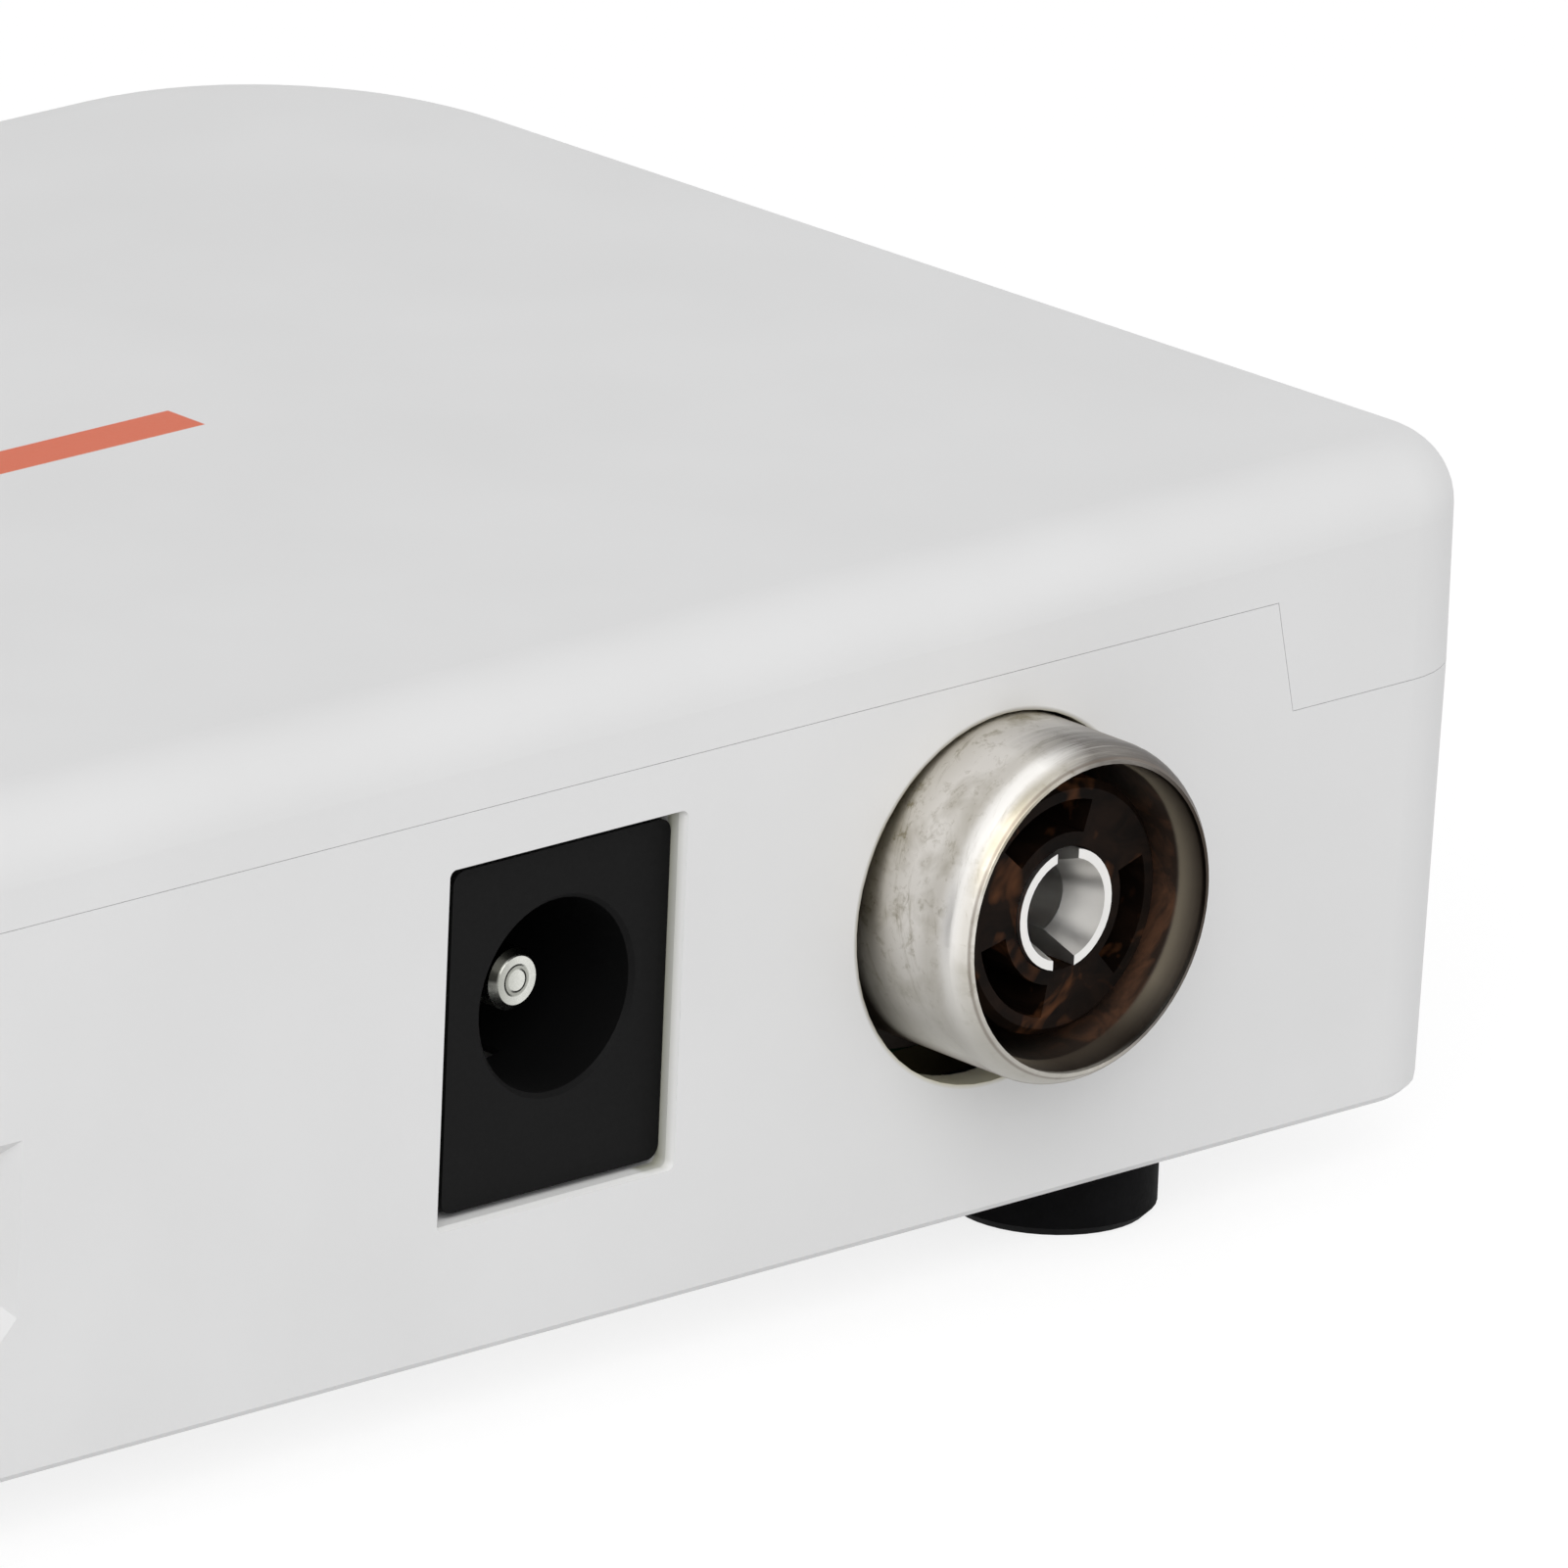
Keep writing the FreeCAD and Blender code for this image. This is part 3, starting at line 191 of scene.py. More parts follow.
class Finish(Nodes):
    """One material: a principled shader, and the colour and relief that are laid on in layers."""

    def __init__(self, name):
        self.material = bpy.data.materials.new(name)
        self.material.use_nodes = True
        super().__init__(self.material.node_tree)
        self.shader = self.tree.nodes["Principled BSDF"]
        self.colour = None
        self.relief = None

    def set(self, **values):
        """Feeds the principled shader's own sockets; an underscore in a name stands for a space."""
        for key, value in values.items():
            self.feed(self.shader.inputs[key.replace("_", " ")], value)

    def lay(self, share, tone):
        """Lays a tone over the colour, by a share from 0 to 1."""
        self.colour = self.blend(share, self.colour, tone)

    def emboss(self, height, depth_mm, strength=1.0):
        """Lays a relief of this depth over the one that is there."""
        values = {"Height": height, "Distance": depth_mm * MM, "Strength": strength}
        if self.relief is not None:
            values["Normal"] = self.relief
        self.relief = self.add("ShaderNodeBump", None, values)

    def place(self):
        """The point on the surface, in metres, in the row frame."""
        return self.add("ShaderNodeTexCoord", output="Object")

    def axes(self, point):
        """The three coordinates of a point, in millimetres."""
        names = ("X", "Y", "Z")
        return [self.add("ShaderNodeSeparateXYZ", None, {0: point}, output=name) / MM for name in names]

    def noise(self, point, grain_mm, detail=3.0, rough=0.55, distort=0.0):
        """Cloudy noise from 0 to 1, its grain given in millimetres."""
        values = {"Vector": point, "Scale": 1 / (grain_mm * MM), "Detail": detail,
                  "Roughness": rough, "Distortion": distort}
        return self.add("ShaderNodeTexNoise", None, values)

    def wound_noise(self, around, along, distance, detail, rough):
        """Noise wound round an axis, on coordinates round it, along it and away from it."""
        point = self.add("ShaderNodeCombineXYZ", None, {0: around, 1: along, 2: distance})
        values = {"Vector": point, "Scale": 1.0, "Detail": detail, "Roughness": rough}
        return self.add("ShaderNodeTexNoise", None, values)

    def cells(self, point, size_mm):
        """Distance to the nearest of scattered points, which shows as a cell pattern."""
        return self.add("ShaderNodeTexVoronoi", None, {"Vector": point, "Scale": 1 / (size_mm * MM)})

    def stretch(self, point, x, y, z):
        """The point with each coordinate multiplied."""
        settings = {"operation": "MULTIPLY"}
        return self.add("ShaderNodeVectorMath", settings, {0: point, 1: (x, y, z)})

    def blend(self, share, first, second):
        """A colour between first and second."""
        settings = {"data_type": "RGBA"}
        return self.add("ShaderNodeMix", settings, {0: share, 6: first, 7: second}, output=2)

    def round_axis(self, across, upward):
        """Distance from an axis in millimetres and the angle round it, from the steps across and up."""
        distance = (across * across + upward * upward) ** 0.5
        angle = self.add("ShaderNodeMath", {"operation": "ARCTAN2"}, {0: upward, 1: across})
        return distance, angle


def dress(finish, *names):
    """Gives the shader its colour and relief and puts the material on CAD nodes."""
    finish.set(Base_Color=finish.colour, Normal=finish.relief)
    for name in names:
        data = nodes[name].data
        data.materials.clear()
        data.materials.append(finish.material)


# Case plastic
CASE_WHITE = (0.80, 0.80, 0.802)
CASE_WHITE_DEEP = (0.775, 0.775, 0.776)
CASE_IOR = 1.42
STRIPE_ORANGE = (0.72, 0.112, 0.026)
STRIPE_REAR = 0.35
STRIPE_FRONT = -1.4
STRIPE_HALF_LENGTH = 16.7
STRIPE_SOFT = 0.06
STRIPE_RAGGED = 0.02
PRINT_REACH_DOWN = 3.8


def case_plastic(name):
    """Satin moulded plastic with a fine spark-eroded grain."""
    finish = Finish(name)
    point = finish.place()
    cloud = finish.noise(point, grain_mm=9.0, detail=2.0)
    sink = finish.noise(point, grain_mm=14.0, detail=1.0)
    grain = finish.noise(point, grain_mm=0.16, detail=2.0, rough=0.7)
    finish.colour = finish.blend(cloud.spread(0.3, 0.7), CASE_WHITE_DEEP, CASE_WHITE)
    finish.emboss(sink, depth_mm=0.02, strength=0.25)
    finish.emboss(grain, depth_mm=0.006, strength=0.5)
    finish.set(Roughness=0.38 + grain * 0.08, IOR=CASE_IOR)
    return finish


def top_plastic():
    """Case plastic with the printed stripe across the top."""
    finish = case_plastic("white_top_plastic")
    point = finish.place()
    x, y, z = finish.axes(point)
    ragged = finish.noise(point, grain_mm=0.12, detail=2.0) * STRIPE_RAGGED
    from_middle = (y - (STRIPE_REAR + STRIPE_FRONT) / 2).size() + ragged
    across = from_middle.below((STRIPE_REAR - STRIPE_FRONT) / 2, STRIPE_SOFT)
    along = (x.size() + ragged).below(STRIPE_HALF_LENGTH, STRIPE_SOFT)
    at_top = z.above(CASE_TOP_Z - PRINT_REACH_DOWN, soft=0.1)
    finish.lay(across * along * at_top, STRIPE_ORANGE)
    return finish


# Supply opening in the rear wall, with a margin round it
SUPPLY_OPENING_X = JACK_X + 0.4
SUPPLY_OPENING_Z = middle("power_jack_body", Z)
SUPPLY_OPENING_HALF_WIDTH = 5.6
SUPPLY_OPENING_HALF_HEIGHT = 6.7
SUPPLY_OPENING_DEPTH = 0.9
SUPPLY_SHADE_X = JACK_X - 3.6
SUPPLY_LIP_DEPTH = 0.4
SUPPLY_LIP_ROUNDING = 0.25
REAR_WALL_DEPTH = 10.0
# Painted light and painted olive shade for the supply opening's walls
RECESS_PAINTED_LIGHT = (0.97, 0.97, 0.96)
RECESS_PAINTED_SHADE = (0.34, 0.34, 0.24)


def paint_light_in_supply_opening(finish, point, in_rear_wall):
    """Painted light on the pale walls, a rounded lip, and painted olive shade at the foot of the side
    wall.
    """
    x, y, z = finish.axes(point)
    depth = REAR_FACE_Y - y
    here = x.near(SUPPLY_OPENING_X, SUPPLY_OPENING_HALF_WIDTH, soft=0.5)
    here = here * z.near(SUPPLY_OPENING_Z, SUPPLY_OPENING_HALF_HEIGHT, soft=0.5) * in_rear_wall
    walls = here * depth.above(0.005, soft=0.006) * depth.below(SUPPLY_OPENING_DEPTH, soft=0.1)
    # Painted light: the recess walls are coloured paler than the case.
    finish.lay(walls, RECESS_PAINTED_LIGHT)
    # Painted olive shade on the side wall, darker deeper in.
    recess_shade = walls * x.below(SUPPLY_SHADE_X, soft=0.3) * depth.spread(0.12, 0.75)
    finish.lay(recess_shade * 0.8, RECESS_PAINTED_SHADE)
    finish.emboss(depth.spread(0.0, SUPPLY_LIP_DEPTH) * here, depth_mm=SUPPLY_LIP_ROUNDING)


# Hole in the rear wall for the aerial sleeve, a little below the sleeve's axis
ANTENNA_HOLE_Z = ANTENNA_Z - 0.43
ANTENNA_HOLE_RADIUS = 6.0
HOLE_RELIEF = 3.0
HOLE_LIT_ANGLE = -1.25
HOLE_SHADE_FROM = 0.75
HOLE_LIT_EXTRA = 1.4
HOLE_PAINTED_SHADE = (0.20, 0.175, 0.10)
HOLE_PAINTED_LIGHT = (0.62, 0.58, 0.42)
INSIDE_DARK = (0.03, 0.027, 0.022)


def paint_shade_in_aerial_hole(finish, point, in_rear_wall):
    """Painted olive shade on the hole's wall, paler painted light below, and painted shade behind it that
    starts deeper below.
    """
    x, y, z = finish.axes(point)
    distance, angle = finish.round_axis(x - ANTENNA_X, z - ANTENNA_HOLE_Z)
    cloud = finish.noise(point, grain_mm=1.4)
    low = angle.toward(HOLE_LIT_ANGLE, 0.75, 1.0)
    wall = distance.below(ANTENNA_HOLE_RADIUS + 0.06, soft=0.16) * (0.55 + cloud * 0.6)
    # Painted olive shade on the hole's wall, with paler painted light on its lower side.
    finish.lay(wall.spread(0, 1) * in_rear_wall, finish.blend(low, HOLE_PAINTED_SHADE, HOLE_PAINTED_LIGHT))
    shade_from = REAR_FACE_Y - HOLE_SHADE_FROM - low * HOLE_LIT_EXTRA
    shade = distance.below(ANTENNA_HOLE_RADIUS + HOLE_RELIEF, soft=0.5) * y.below(shade_from, soft=0.5)
    # Painted shade inside the case behind the hole.
    finish.lay(shade * in_rear_wall, INSIDE_DARK)


def bottom_plastic():
    """Case plastic, with painted light and shade where the supply socket and the aerial sleeve pass
    through.
    """
    finish = case_plastic("white_bottom_plastic")
    point = finish.place()
    in_rear_wall = finish.axes(point)[Y].above(REAR_FACE_Y - REAR_WALL_DEPTH, soft=0.5)
    paint_light_in_supply_opening(finish, point, in_rear_wall)
    paint_shade_in_aerial_hole(finish, point, in_rear_wall)
    return finish


dress(top_plastic(), "top_shell")
dress(bottom_plastic(), "bottom_shell")

# Feet
RUBBER_BLACK = (0.0024, 0.0024, 0.0026)
RUBBER_DUSTY = (0.0052, 0.0052, 0.0056)
RUBBER_IOR = 1.14


def rubber():
    """Soft black rubber with a dusty mottled skin."""
    finish = Finish("foot_rubber")
    point = finish.place()
    speck = finish.noise(point, grain_mm=0.22, detail=4.0, rough=0.65)
    smear = finish.noise(point, grain_mm=2.4, detail=2.0)
    finish.colour = finish.blend(smear.spread(0.35, 0.7), RUBBER_BLACK, RUBBER_DUSTY)
    finish.emboss(speck, depth_mm=0.02, strength=0.6)
    finish.set(Roughness=0.6 + speck * 0.2, IOR=RUBBER_IOR)
    return finish


dress(rubber(), "rubber_feet")

# Aerial sleeve: setbacks are measured inwards from its front in mm, angles from +X upwards in radians.
SLEEVE_BORE = 5.0
SLEEVE_RIM = 5.1
SLEEVE_LEAD_IN = 1.1
SHOULDER_SETBACK = 0.65
DARK_BAND_SETBACK = 1.4
FRONT_SHADE_LENGTH = 0.35
DARK_EDGE_LENGTH = 0.8
DARK_REFLECTION_FROM = 1.2
DARK_REFLECTION_TO = 3.6
WALL_DARKENING_LENGTH = 0.7
SHADE_BEHIND_FACE = 0.6
HIGHLIGHT_DIM_ANGLE = 0.85
UNDERSIDE_ANGLE = -1.0
PALE_ANGLE_TOP = -0.85
PALE_ANGLE_BOTTOM = -2.2
DARK_REFLECTION_ANGLE = 2.9
BORE_SHADE_ANGLE = -1.75
MIRROR_ANGLE = 3.5
NICKEL_WARM = (0.83, 0.80, 0.755)
NICKEL_PAINTED_HIGHLIGHT = (0.97, 0.95, 0.915)
NICKEL_STAIN_AND_SHADE = (0.33, 0.295, 0.215)
NICKEL_UNDERSIDE = (0.39, 0.375, 0.335)
NICKEL_PALE_BELOW = (0.74, 0.725, 0.66)
NICKEL_PAINTED_DARK_REFLECTION = (0.17, 0.157, 0.143)
NICKEL_PAINTED_DARK = (0.045, 0.033, 0.024)
NICKEL_PAINTED_DIM = (0.16, 0.125, 0.10)
NICKEL_FILM = (0.25, 0.215, 0.16)
MIRRORED_DEEP = (0.045, 0.030, 0.023)
MIRRORED_BROWN = (0.15, 0.073, 0.042)


def paint_shoulder_light(finish, angle, setback, scuffs):
    """A painted highlight on the shoulder, a painted dark band behind it, and painted shade on the front
    edge.
    """
    # Painted highlight on the shoulder, broken by the scuffs.
    painted_highlight = setback.near(SHOULDER_SETBACK, 0.3, soft=0.4) * (1.0 - scuffs * 0.6)
    finish.lay(painted_highlight * 0.9, NICKEL_PAINTED_HIGHLIGHT)
    # Painted dark band just behind the highlight.
    finish.lay(setback.near(DARK_BAND_SETBACK, 0.35, soft=0.4) * 0.24, NICKEL_STAIN_AND_SHADE)
    # Painted shade on the front edge, strongest where the lamp's highlight falls.
    front_shade = angle.toward(HIGHLIGHT_DIM_ANGLE, 0.85, 1.0) * 0.65 + 0.2
    finish.lay(setback.below(FRONT_SHADE_LENGTH, soft=0.25) * front_shade, NICKEL_STAIN_AND_SHADE)


def matt_film_and_light_below(finish, angle, setback, blotch):
    """A less metallic side that faces the table, paler towards the wall; partly a matt film, partly
    painted light; gives both masks.
    """
    # Matt film on the side facing the table, partly painted light from below.
    underside = angle.toward(UNDERSIDE_ANGLE, 0.5, 0.95)
    finish.lay(underside * 0.85, NICKEL_UNDERSIDE)
    # Paler colour on the lower far side towards the wall, partly painted light.
    pale_below = angle.below(PALE_ANGLE_TOP, soft=0.5) * angle.above(PALE_ANGLE_BOTTOM, soft=0.4)
    pale_below = pale_below * setback.spread(0.3, 1.6)
    finish.lay(pale_below * (0.7 + blotch * 0.4), NICKEL_PALE_BELOW)
    return underside, pale_below


def paint_far_side_reflection(finish, angle, setback, lines):
    """Painted dark reflection, streaked, on the side away from the supply socket, darkest at its front
    edge.
    """
    streaks = lines.spread(0.30, 0.62) * 0.4 + 0.6
    # Painted dark reflection on the far side, fading back from the front.
    dark_reflection = angle.toward(DARK_REFLECTION_ANGLE, -0.1, 0.25) * (1.0 - setback.spread(DARK_REFLECTION_FROM, DARK_REFLECTION_TO)) * streaks
    finish.lay(dark_reflection.spread(0, 0.85), NICKEL_PAINTED_DARK_REFLECTION)
    # Painted dark reflection at the far side's front edge.
    dark_edge = angle.toward(DARK_REFLECTION_ANGLE, 0.45, 0.95) * setback.below(DARK_EDGE_LENGTH, soft=0.9)
    finish.lay(dark_edge * 0.9, NICKEL_PAINTED_DARK)


def shade_and_film_in_mouth(finish, point, distance, angle, setback):
    """Painted shade in the bore, deeper below; a lead-in film, partly painted light; the brown moulding's
    painted reflection; gives the masks.
    """
    inside = distance.below(SLEEVE_BORE, soft=0.1) * setback.above(0.15, soft=0.1)
    # Painted shade over the whole bore.
    finish.lay(inside * 0.75, NICKEL_PAINTED_DIM)
    # Grey film on the lead-in, partly painted light.
    film = inside * setback.below(SLEEVE_LEAD_IN, soft=0.15) * setback.above(0.45, soft=0.9)
    finish.lay(film, NICKEL_FILM)
    # Deeper painted shade on the bore's lower side.
    finish.lay(angle.toward(BORE_SHADE_ANGLE, 0.75, 0.97) * inside * 0.85, NICKEL_PAINTED_DARK)
    # Painted reflection of the brown moulding, deeper in.
    mirrored = inside * setback.above(SLEEVE_LEAD_IN, soft=0.2) * angle.toward(MIRROR_ANGLE, 0.1, 0.7)
    patches = finish.noise(point, grain_mm=1.8, detail=4.0, rough=0.65, distort=0.8)
    finish.lay(mirrored, finish.blend(patches.spread(0.44, 0.62), MIRRORED_DEEP, MIRRORED_BROWN))
    return inside, film, mirrored


def worn_nickel():
    """Scuffed nickel with lathe lines round the axis, stained in patches and worn by use, with painted
    light and shade laid over.
    """
    finish = Finish("worn_nickel")
    point = finish.place()
    x, y, z = finish.axes(point)
    distance, angle = finish.round_axis(x - ANTENNA_X, z - ANTENNA_Z)
    setback = SLEEVE_FRONT - y
    lines = finish.wound_noise(angle * 1.2, y * 9.0, distance, detail=5.0, rough=0.65)
    scuffs = finish.wound_noise(angle * 2.0, y * 2.6 + angle * 3.0, distance, detail=6.0, rough=0.75)
    scuffs = scuffs.spread(0.56, 0.74)
    blotch = finish.noise(point, grain_mm=2.2, detail=4.0, rough=0.6, distort=0.4)
    speck = finish.noise(point, grain_mm=0.35, rough=0.7)
    pits = finish.noise(point, grain_mm=0.7, detail=4.0, rough=0.7, distort=0.5).spread(0.56, 0.68)
    # Darker towards the wall.
    near_wall = y.below(REAR_FACE_Y + WALL_DARKENING_LENGTH, soft=1.6)
    stain = blotch.spread(0.50, 0.72) * 0.6 + speck.spread(0.58, 0.76) * 0.4
    stain = stain + scuffs * 0.6 + near_wall * 0.5 + pits * 0.35
    finish.colour = finish.blend(stain.spread(0, 1), NICKEL_WARM, NICKEL_STAIN_AND_SHADE)
    paint_shoulder_light(finish, angle, setback, scuffs)
    underside, pale_below = matt_film_and_light_below(finish, angle, setback, blotch)
    paint_far_side_reflection(finish, angle, setback, lines)
    # Painted dark line round the rim's edge.
    rim_dark_line = distance.near(SLEEVE_RIM, 0.035, soft=0.04) * setback.below(0.5, soft=0.1)
    finish.lay(rim_dark_line * 0.6, NICKEL_PAINTED_DIM)
    # Painted shade on the sleeve where it lies inside the hole.
    finish.lay(y.below(REAR_FACE_Y - SHADE_BEHIND_FACE, soft=0.5), NICKEL_PAINTED_DARK)
    # Painted dark reflection where the surface is seen edge-on.
    grazing = finish.add("ShaderNodeLayerWeight", None, {"Blend": 0.5}, output="Facing")
    finish.lay(grazing.spread(0.80, 1.0), NICKEL_PAINTED_DIM)
    inside, film, mirrored = shade_and_film_in_mouth(finish, point, distance, angle, setback)
    finish.emboss(lines, depth_mm=0.012, strength=0.5)
    finish.emboss(speck, depth_mm=0.010, strength=0.3)
    rough = 0.27 + lines * 0.12 + stain * 0.12 + underside * 0.12
    outside_loss = (underside * 0.6 + pale_below * 0.3) * (1.0 - inside)
    metal = 1.0 - film * 0.85 - mirrored * 0.9 - outside_loss
    finish.set(Metallic=metal.spread(0, 1), Roughness=rough)
    return finish


dress(worn_nickel(), "antenna_sleeve")

CONTACT_NICKEL = (0.86, 0.85, 0.83)


def bright_nickel(name, tint, rough):
    """Clean plated metal with faint drawing marks."""
    finish = Finish(name)
    point = finish.place()
    marks = finish.noise(finish.stretch(point, 1.0, 0.15, 1.0), grain_mm=0.18)
    cloud = finish.noise(point, grain_mm=1.1, detail=2.0)
    finish.colour = finish.blend(cloud, tint, tuple(0.88 * part for part in tint))
    finish.emboss(marks, depth_mm=0.004, strength=0.4)
    finish.set(Metallic=1.0, Roughness=rough + marks * 0.14)
    return finish


dress(bright_nickel("contact_nickel", CONTACT_NICKEL, rough=0.27), "antenna_contact")

MOULDING_DARK = (0.0040, 0.0026, 0.0019)
MOULDING_LIGHT = (0.013, 0.0070, 0.0045)
MOULDING_PAINTED_SHEEN = (0.080, 0.032, 0.014)
MOULDING_IOR = 1.12


def brown_moulding():
    """Dark brown phenolic moulding, half gloss, with flow marks and random patches of painted
    orange-brown sheen.
    """
    finish = Finish("brown_phenolic")
    point = finish.place()
    flow = finish.noise(finish.stretch(point, 1.0, 0.5, 1.6), grain_mm=1.3, detail=4.0, distort=0.8)
    sheen_patches = finish.noise(point, grain_mm=2.3, rough=0.6, distort=0.6)
    speck = finish.noise(point, grain_mm=0.2, detail=2.0)
    finish.colour = finish.blend(flow.spread(0.35, 0.75), MOULDING_DARK, MOULDING_LIGHT)
    # Painted sheen: orange-brown patches at random.
    finish.lay(sheen_patches.spread(0.54, 0.66), MOULDING_PAINTED_SHEEN)
    finish.emboss(speck, depth_mm=0.006, strength=0.5)
    finish.set(Roughness=0.36 + speck * 0.18, IOR=MOULDING_IOR)
    return finish


dress(brown_moulding(), "antenna_insulator")

# Pin of the supply socket
PIN_RING_RADIUS = 0.43
PIN_RING_HALF_WIDTH = 0.07
PIN_RING_DEPTH = 0.03
PIN_TIP_RADIUS = 0.80
PIN_GLINT_ANGLE = -0.75
PIN_NICKEL = (0.80, 0.805, 0.755)
PIN_RING_AND_SHADE = (0.30, 0.305, 0.27)
PIN_SHADED = (0.035, 0.035, 0.030)


def pin_nickel():
    """Plated pin, painted shade on one side and on its shaft but for a painted glint, with the ring that
    its forming tool leaves on the tip.
    """
    finish = Finish("pin_nickel")
    point = finish.place()
    across = finish.axes(point)[X] - JACK_X
    upward = finish.axes(point)[Z] - JACK_Z
    distance, angle = finish.round_axis(across, upward)
    ring = distance.near(PIN_RING_RADIUS, PIN_RING_HALF_WIDTH, soft=0.06)
    marks = finish.noise(point, grain_mm=0.15)
    finish.colour = finish.blend(ring * 0.7 + marks * 0.2, PIN_NICKEL, PIN_RING_AND_SHADE)
    # Painted shade on the +X side of the pin.
    finish.lay(across.spread(-0.15, 0.7) * 0.7, PIN_RING_AND_SHADE)
    # Painted shade on the tip's chamfer and shaft, except for a painted glint.
    glint = angle.toward(PIN_GLINT_ANGLE, 0.62, 0.85)
    finish.lay(distance.above(PIN_TIP_RADIUS, soft=0.06) * (1.0 - glint), PIN_SHADED)
    finish.emboss(1.0 - ring, depth_mm=PIN_RING_DEPTH)
    finish.emboss(marks, depth_mm=0.003, strength=0.2)
    finish.set(Metallic=1.0, Roughness=0.2 + marks * 0.15)
    return finish


dress(pin_nickel(), "power_jack_pin")


# Black plastics
def black_moulding(name, grey, ior=1.4):
    """Black moulded plastic with a fine matt grain; grey is the light that it gives back."""
    finish = Finish(name)
    point = finish.place()
    grain = finish.noise(point, grain_mm=0.12, rough=0.7)
    cloud = finish.noise(point, grain_mm=3.0, detail=2.0)
    dark = (grey, grey, grey * 1.04)
    light = (grey * 1.3, grey * 1.3, grey * 1.32)
    finish.colour = finish.blend(cloud, dark, light)
    finish.emboss(grain, depth_mm=0.006, strength=0.5)
    finish.set(Roughness=0.5 + grain * 0.2, IOR=ior)
    return finish


dress(black_moulding("jack_plastic", 0.0035, ior=1.2), "power_jack_body")
dress(black_moulding("socket_plastic", 0.006, ior=1.25), "video_socket_insulator")
dress(black_moulding("chip_epoxy", 0.014), "tuner_chip", "video_chip", "memory_chip", "program_chip",
      "voltage_regulator")
dress(black_moulding("ferrite", 0.030), "inductors")

# Sheet and wire
STEEL = (0.60, 0.59, 0.575)
ZINC = (0.55, 0.55, 0.56)
GOLD = (0.80, 0.56, 0.20)
COPPER = (0.62, 0.27, 0.12)
ROLLED_ALONG_Y = (1.0, 0.06, 1.0)


def rolled_metal(name, tint, rough, stretch):
    """Rolled or drawn metal with fine lines along one axis and dull clouds."""
    finish = Finish(name)
    point = finish.place()
    lines = finish.noise(finish.stretch(point, *stretch), grain_mm=0.12, detail=4.0, rough=0.7)
    cloud = finish.noise(point, grain_mm=4.0)
    finish.colour = finish.blend(cloud.spread(0.3, 0.7), tint, tuple(0.8 * part for part in tint))
    finish.emboss(lines, depth_mm=0.004, strength=0.5)
    finish.set(Metallic=1.0, Roughness=rough + lines * 0.18)
    return finish


dress(rolled_metal("socket_steel", STEEL, 0.24, ROLLED_ALONG_Y), "video_socket_shell", "crystal")
dress(rolled_metal("tinned_sheet", STEEL, 0.30, ROLLED_ALONG_Y), "tuner_frame", "tuner_lid",
      "power_jack_terminals")
dress(rolled_metal("zinc_screw", ZINC, 0.28, (1.0, 1.0, 0.2)), "case_screws", "board_screws")
dress(rolled_metal("gold_plate", GOLD, 0.20, (1.0, 0.1, 1.0)), "video_socket_contacts")
dress(rolled_metal("copper_wire", COPPER, 0.28, (0.3, 0.3, 9.0)), "tuner_coils")

# Circuit boards and small parts
BOARD_GREEN = (0.018, 0.145, 0.050)
TRACK_GREEN = (0.006, 0.070, 0.026)
LAMINATE_EDGE_SHADE = (0.045, 0.038, 0.020)
CAN_CAP_HEIGHT = 0.35
CAN_BLUE = (0.012, 0.014, 0.035)
ALUMINIUM = (0.62, 0.62, 0.63)
CERAMIC_TAN = (0.30, 0.185, 0.10)
CERAMIC_BROWN = (0.24, 0.145, 0.08)


def solder_mask():
    """Green board lacquer over a faint pattern of tracks, with bare laminate at the edges, painted dark
    as shade.
    """
    finish = Finish("board_lacquer")
    point = finish.place()
    track = finish.cells(finish.stretch(point, 1.0, 0.35, 1.0), size_mm=2.2).spread(0.10, 0.16)
    cloud = finish.noise(point, grain_mm=6.0, detail=2.0)
    weave = finish.noise(point, grain_mm=0.4, detail=2.0)
    normal = finish.add("ShaderNodeNewGeometry", output="Normal")
    upright = finish.add("ShaderNodeSeparateXYZ", None, {0: normal}, output="Z")
    finish.colour = finish.blend(track, BOARD_GREEN, TRACK_GREEN)
    # Bare laminate edges, painted dark as shade.
    finish.lay(upright.size().below(0.5, soft=0.2), LAMINATE_EDGE_SHADE)
    finish.emboss(track + weave * 0.2, depth_mm=0.02, strength=0.5)
    finish.set(Roughness=0.26 + cloud * 0.1)
    return finish


def can_sleeve():
    """Shrink sleeve on the capacitors with a bare aluminium top."""
    finish = Finish("capacitor_can")
    point = finish.place()
    top = finish.axes(point)[Z].above(highest("capacitors", Z) - CAN_CAP_HEIGHT, soft=0.05)
    cloud = finish.noise(point, grain_mm=1.5)
    finish.colour = finish.blend(top, CAN_BLUE, ALUMINIUM)
    finish.emboss(cloud, depth_mm=0.01, strength=0.4)
    finish.set(Metallic=top, Roughness=0.30 + cloud * 0.15)
    return finish


def ceramic():
    """Small speckled ceramic blocks."""
    finish = Finish("chip_ceramic")
    speck = finish.noise(finish.place(), grain_mm=0.1, detail=2.0)
    finish.colour = finish.blend(speck, CERAMIC_TAN, CERAMIC_BROWN)
    finish.emboss(speck, depth_mm=0.004, strength=0.4)
    finish.set(Roughness=0.5 + speck * 0.1)
    return finish


dress(solder_mask(), "circuit_board", "tuner_board")
dress(can_sleeve(), "capacitors")
dress(ceramic(), "chip_capacitors")

# Tinted plastics: the two colours that each one's swirls run between
WINDOW_TINT = ((0.016, 0.003, 0.005), (0.010, 0.002, 0.003))
RECEIVER_TINT = ((0.012, 0.009, 0.010), (0.008, 0.006, 0.007))
LIGHT_TINT = ((0.42, 0.018, 0.012), (0.30, 0.010, 0.008))


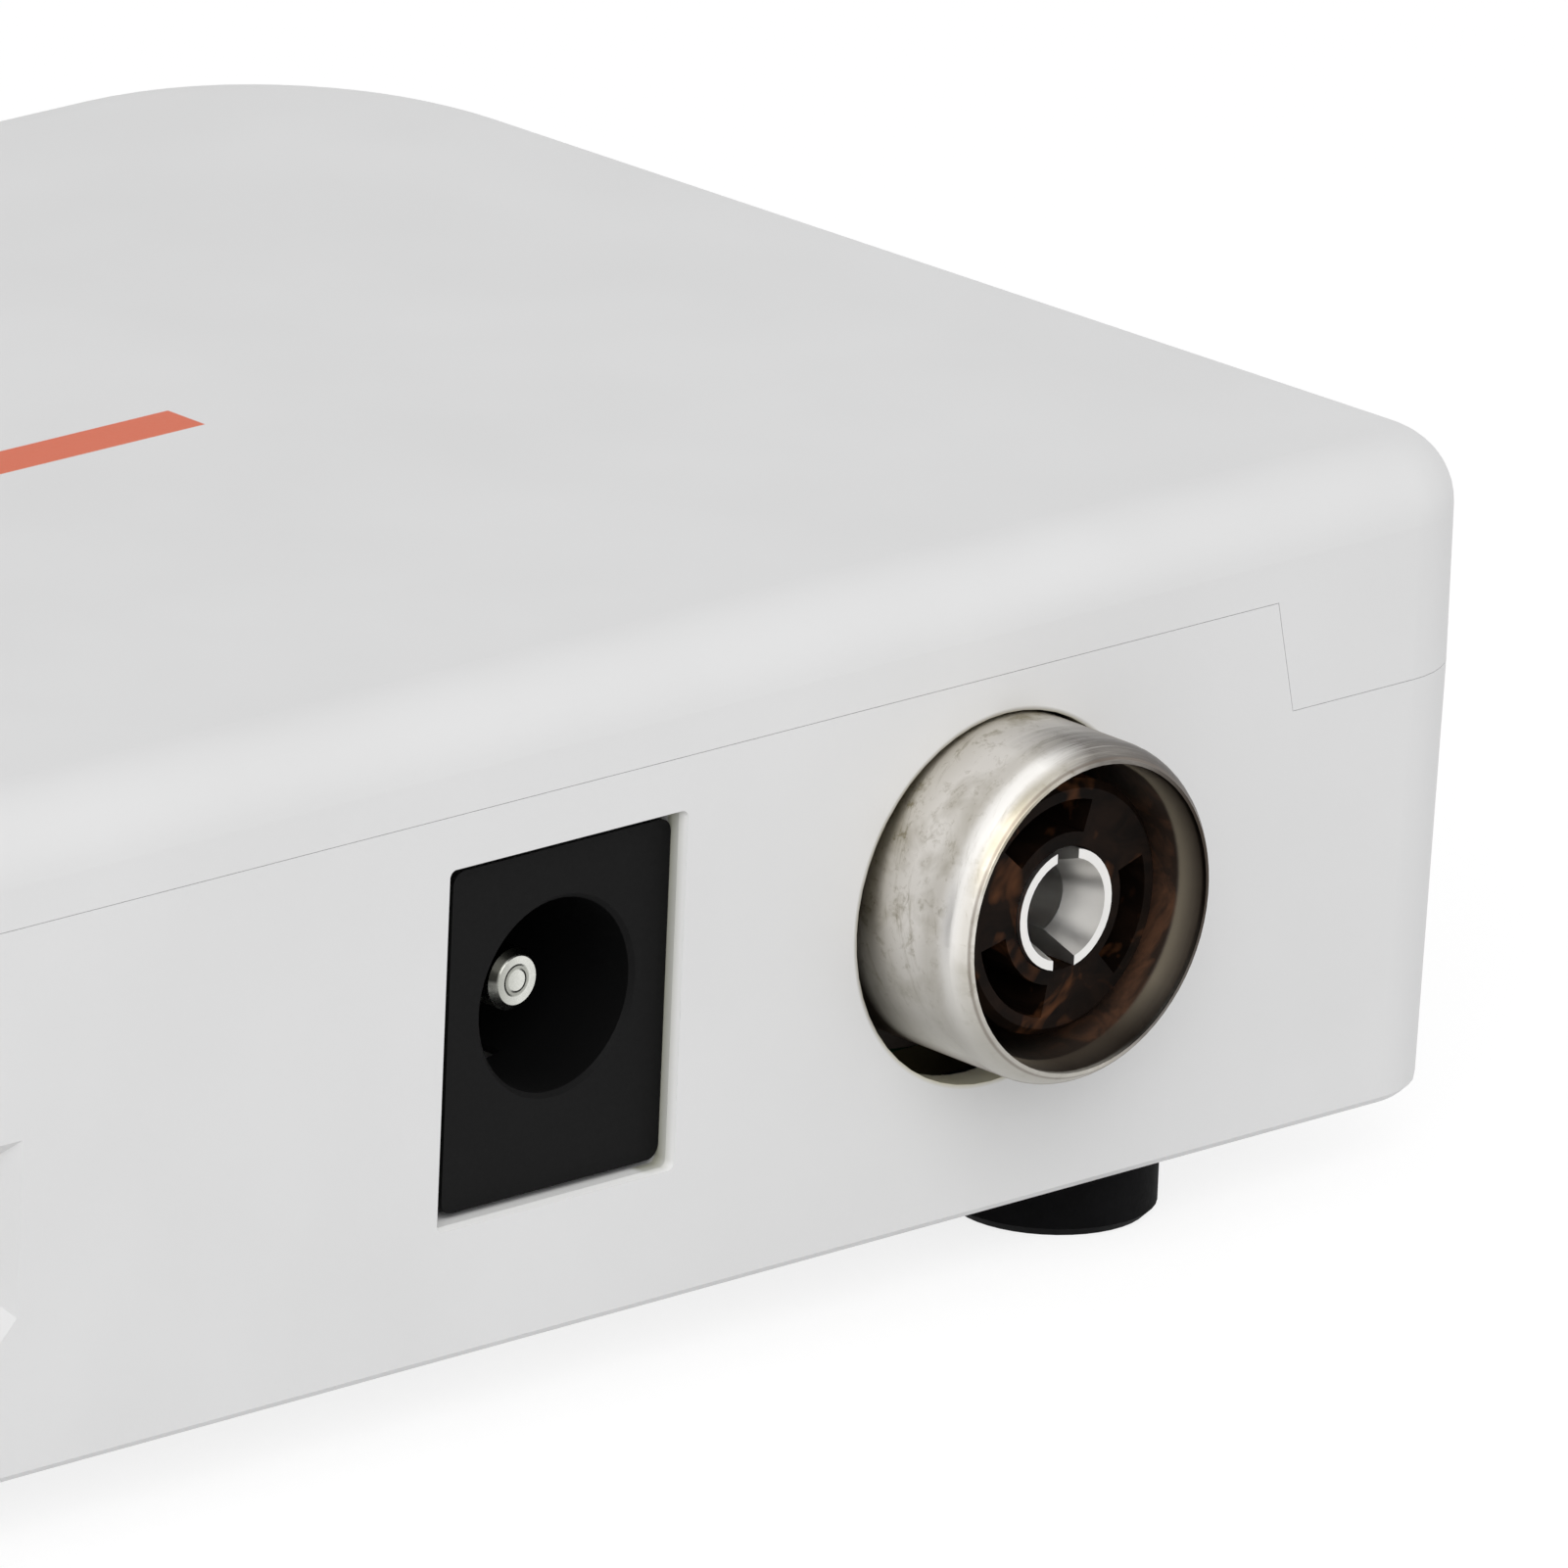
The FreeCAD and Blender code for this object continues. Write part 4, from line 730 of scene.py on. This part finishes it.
def tinted_plastic(name, tint, rough):
    """Glossy tinted plastic with faint moulding swirls."""
    finish = Finish(name)
    swirl = finish.noise(finish.place(), grain_mm=5.0, detail=2.0, distort=0.6)
    finish.colour = finish.blend(swirl, *tint)
    finish.emboss(swirl, depth_mm=0.01, strength=0.15)
    finish.set(Roughness=rough + swirl * 0.05, Coat_Weight=0.4)
    return finish


dress(tinted_plastic("window_tint", WINDOW_TINT, 0.08), "front_window")
dress(tinted_plastic("receiver_epoxy", RECEIVER_TINT, 0.15), "infrared_receiver")
dress(tinted_plastic("light_red", LIGHT_TINT, 0.12), "status_light")

# Stage: a pale floor that looks white to the camera and keeps the object's shadow
FLOOR_HALF = 3.0
FLOOR_GREY = (0.80, 0.80, 0.80)
FLOOR_GREY_SEEN = (0.24, 0.24, 0.24)
FLOOR_LIFT = 0.82
BLACK = (0.0, 0.0, 0.0)
WHITE = (1.0, 1.0, 1.0)
WORLD_LIGHT = 0.58
WORLD_SEEN = 1.0
KEY_DIRECTION = (0.42, 0.667, 0.615)
KEY_DISTANCE = 1.0
KEY_SIZE = 0.7
KEY_POWER = 4.41


def make_floor():
    """Level sheet that the feet stand on."""
    grid = bmesh.new()
    bmesh.ops.create_grid(grid, x_segments=1, y_segments=1, size=FLOOR_HALF)
    mesh = bpy.data.meshes.new("floor")
    grid.to_mesh(mesh)
    grid.free()
    floor = bpy.data.objects.new("floor", mesh)
    bpy.context.scene.collection.objects.link(floor)
    finish = Finish("pale_floor")
    seen = finish.background_rays()
    finish.set(Base_Color=finish.blend(seen, FLOOR_GREY, FLOOR_GREY_SEEN), Roughness=0.9,
               Specular_IOR_Level=0.0, Emission_Color=finish.blend(seen, BLACK, WHITE),
               Emission_Strength=FLOOR_LIFT)
    mesh.materials.append(finish.material)


def make_world():
    """Even white surroundings, brighter where they are seen than where they light."""
    world = bpy.data.worlds.new("studio")
    bpy.context.scene.world = world
    world.use_nodes = True
    sky = Nodes(world.node_tree)
    background = world.node_tree.nodes["Background"]
    sky.feed(background.inputs["Color"], WHITE)
    strength = sky.background_rays() * (WORLD_SEEN - WORLD_LIGHT) + WORLD_LIGHT
    sky.feed(background.inputs["Strength"], strength)


def soft_box(name, direction, distance, size, power):
    """A square area lamp that faces the object."""
    data = bpy.data.lights.new(name, "AREA")
    data.shape = "SQUARE"
    data.size = size
    data.energy = power
    lamp = bpy.data.objects.new(name, data)
    direction = Vector(direction).normalized()
    lamp.location = direction * distance
    lamp.rotation_mode = "QUATERNION"
    lamp.rotation_quaternion = direction.to_track_quat("Z", "Y")
    bpy.context.scene.collection.objects.link(lamp)


make_floor()
make_world()
soft_box("key", KEY_DIRECTION, KEY_DISTANCE, KEY_SIZE, KEY_POWER)
bpy.context.scene.view_settings.view_transform = "Standard"
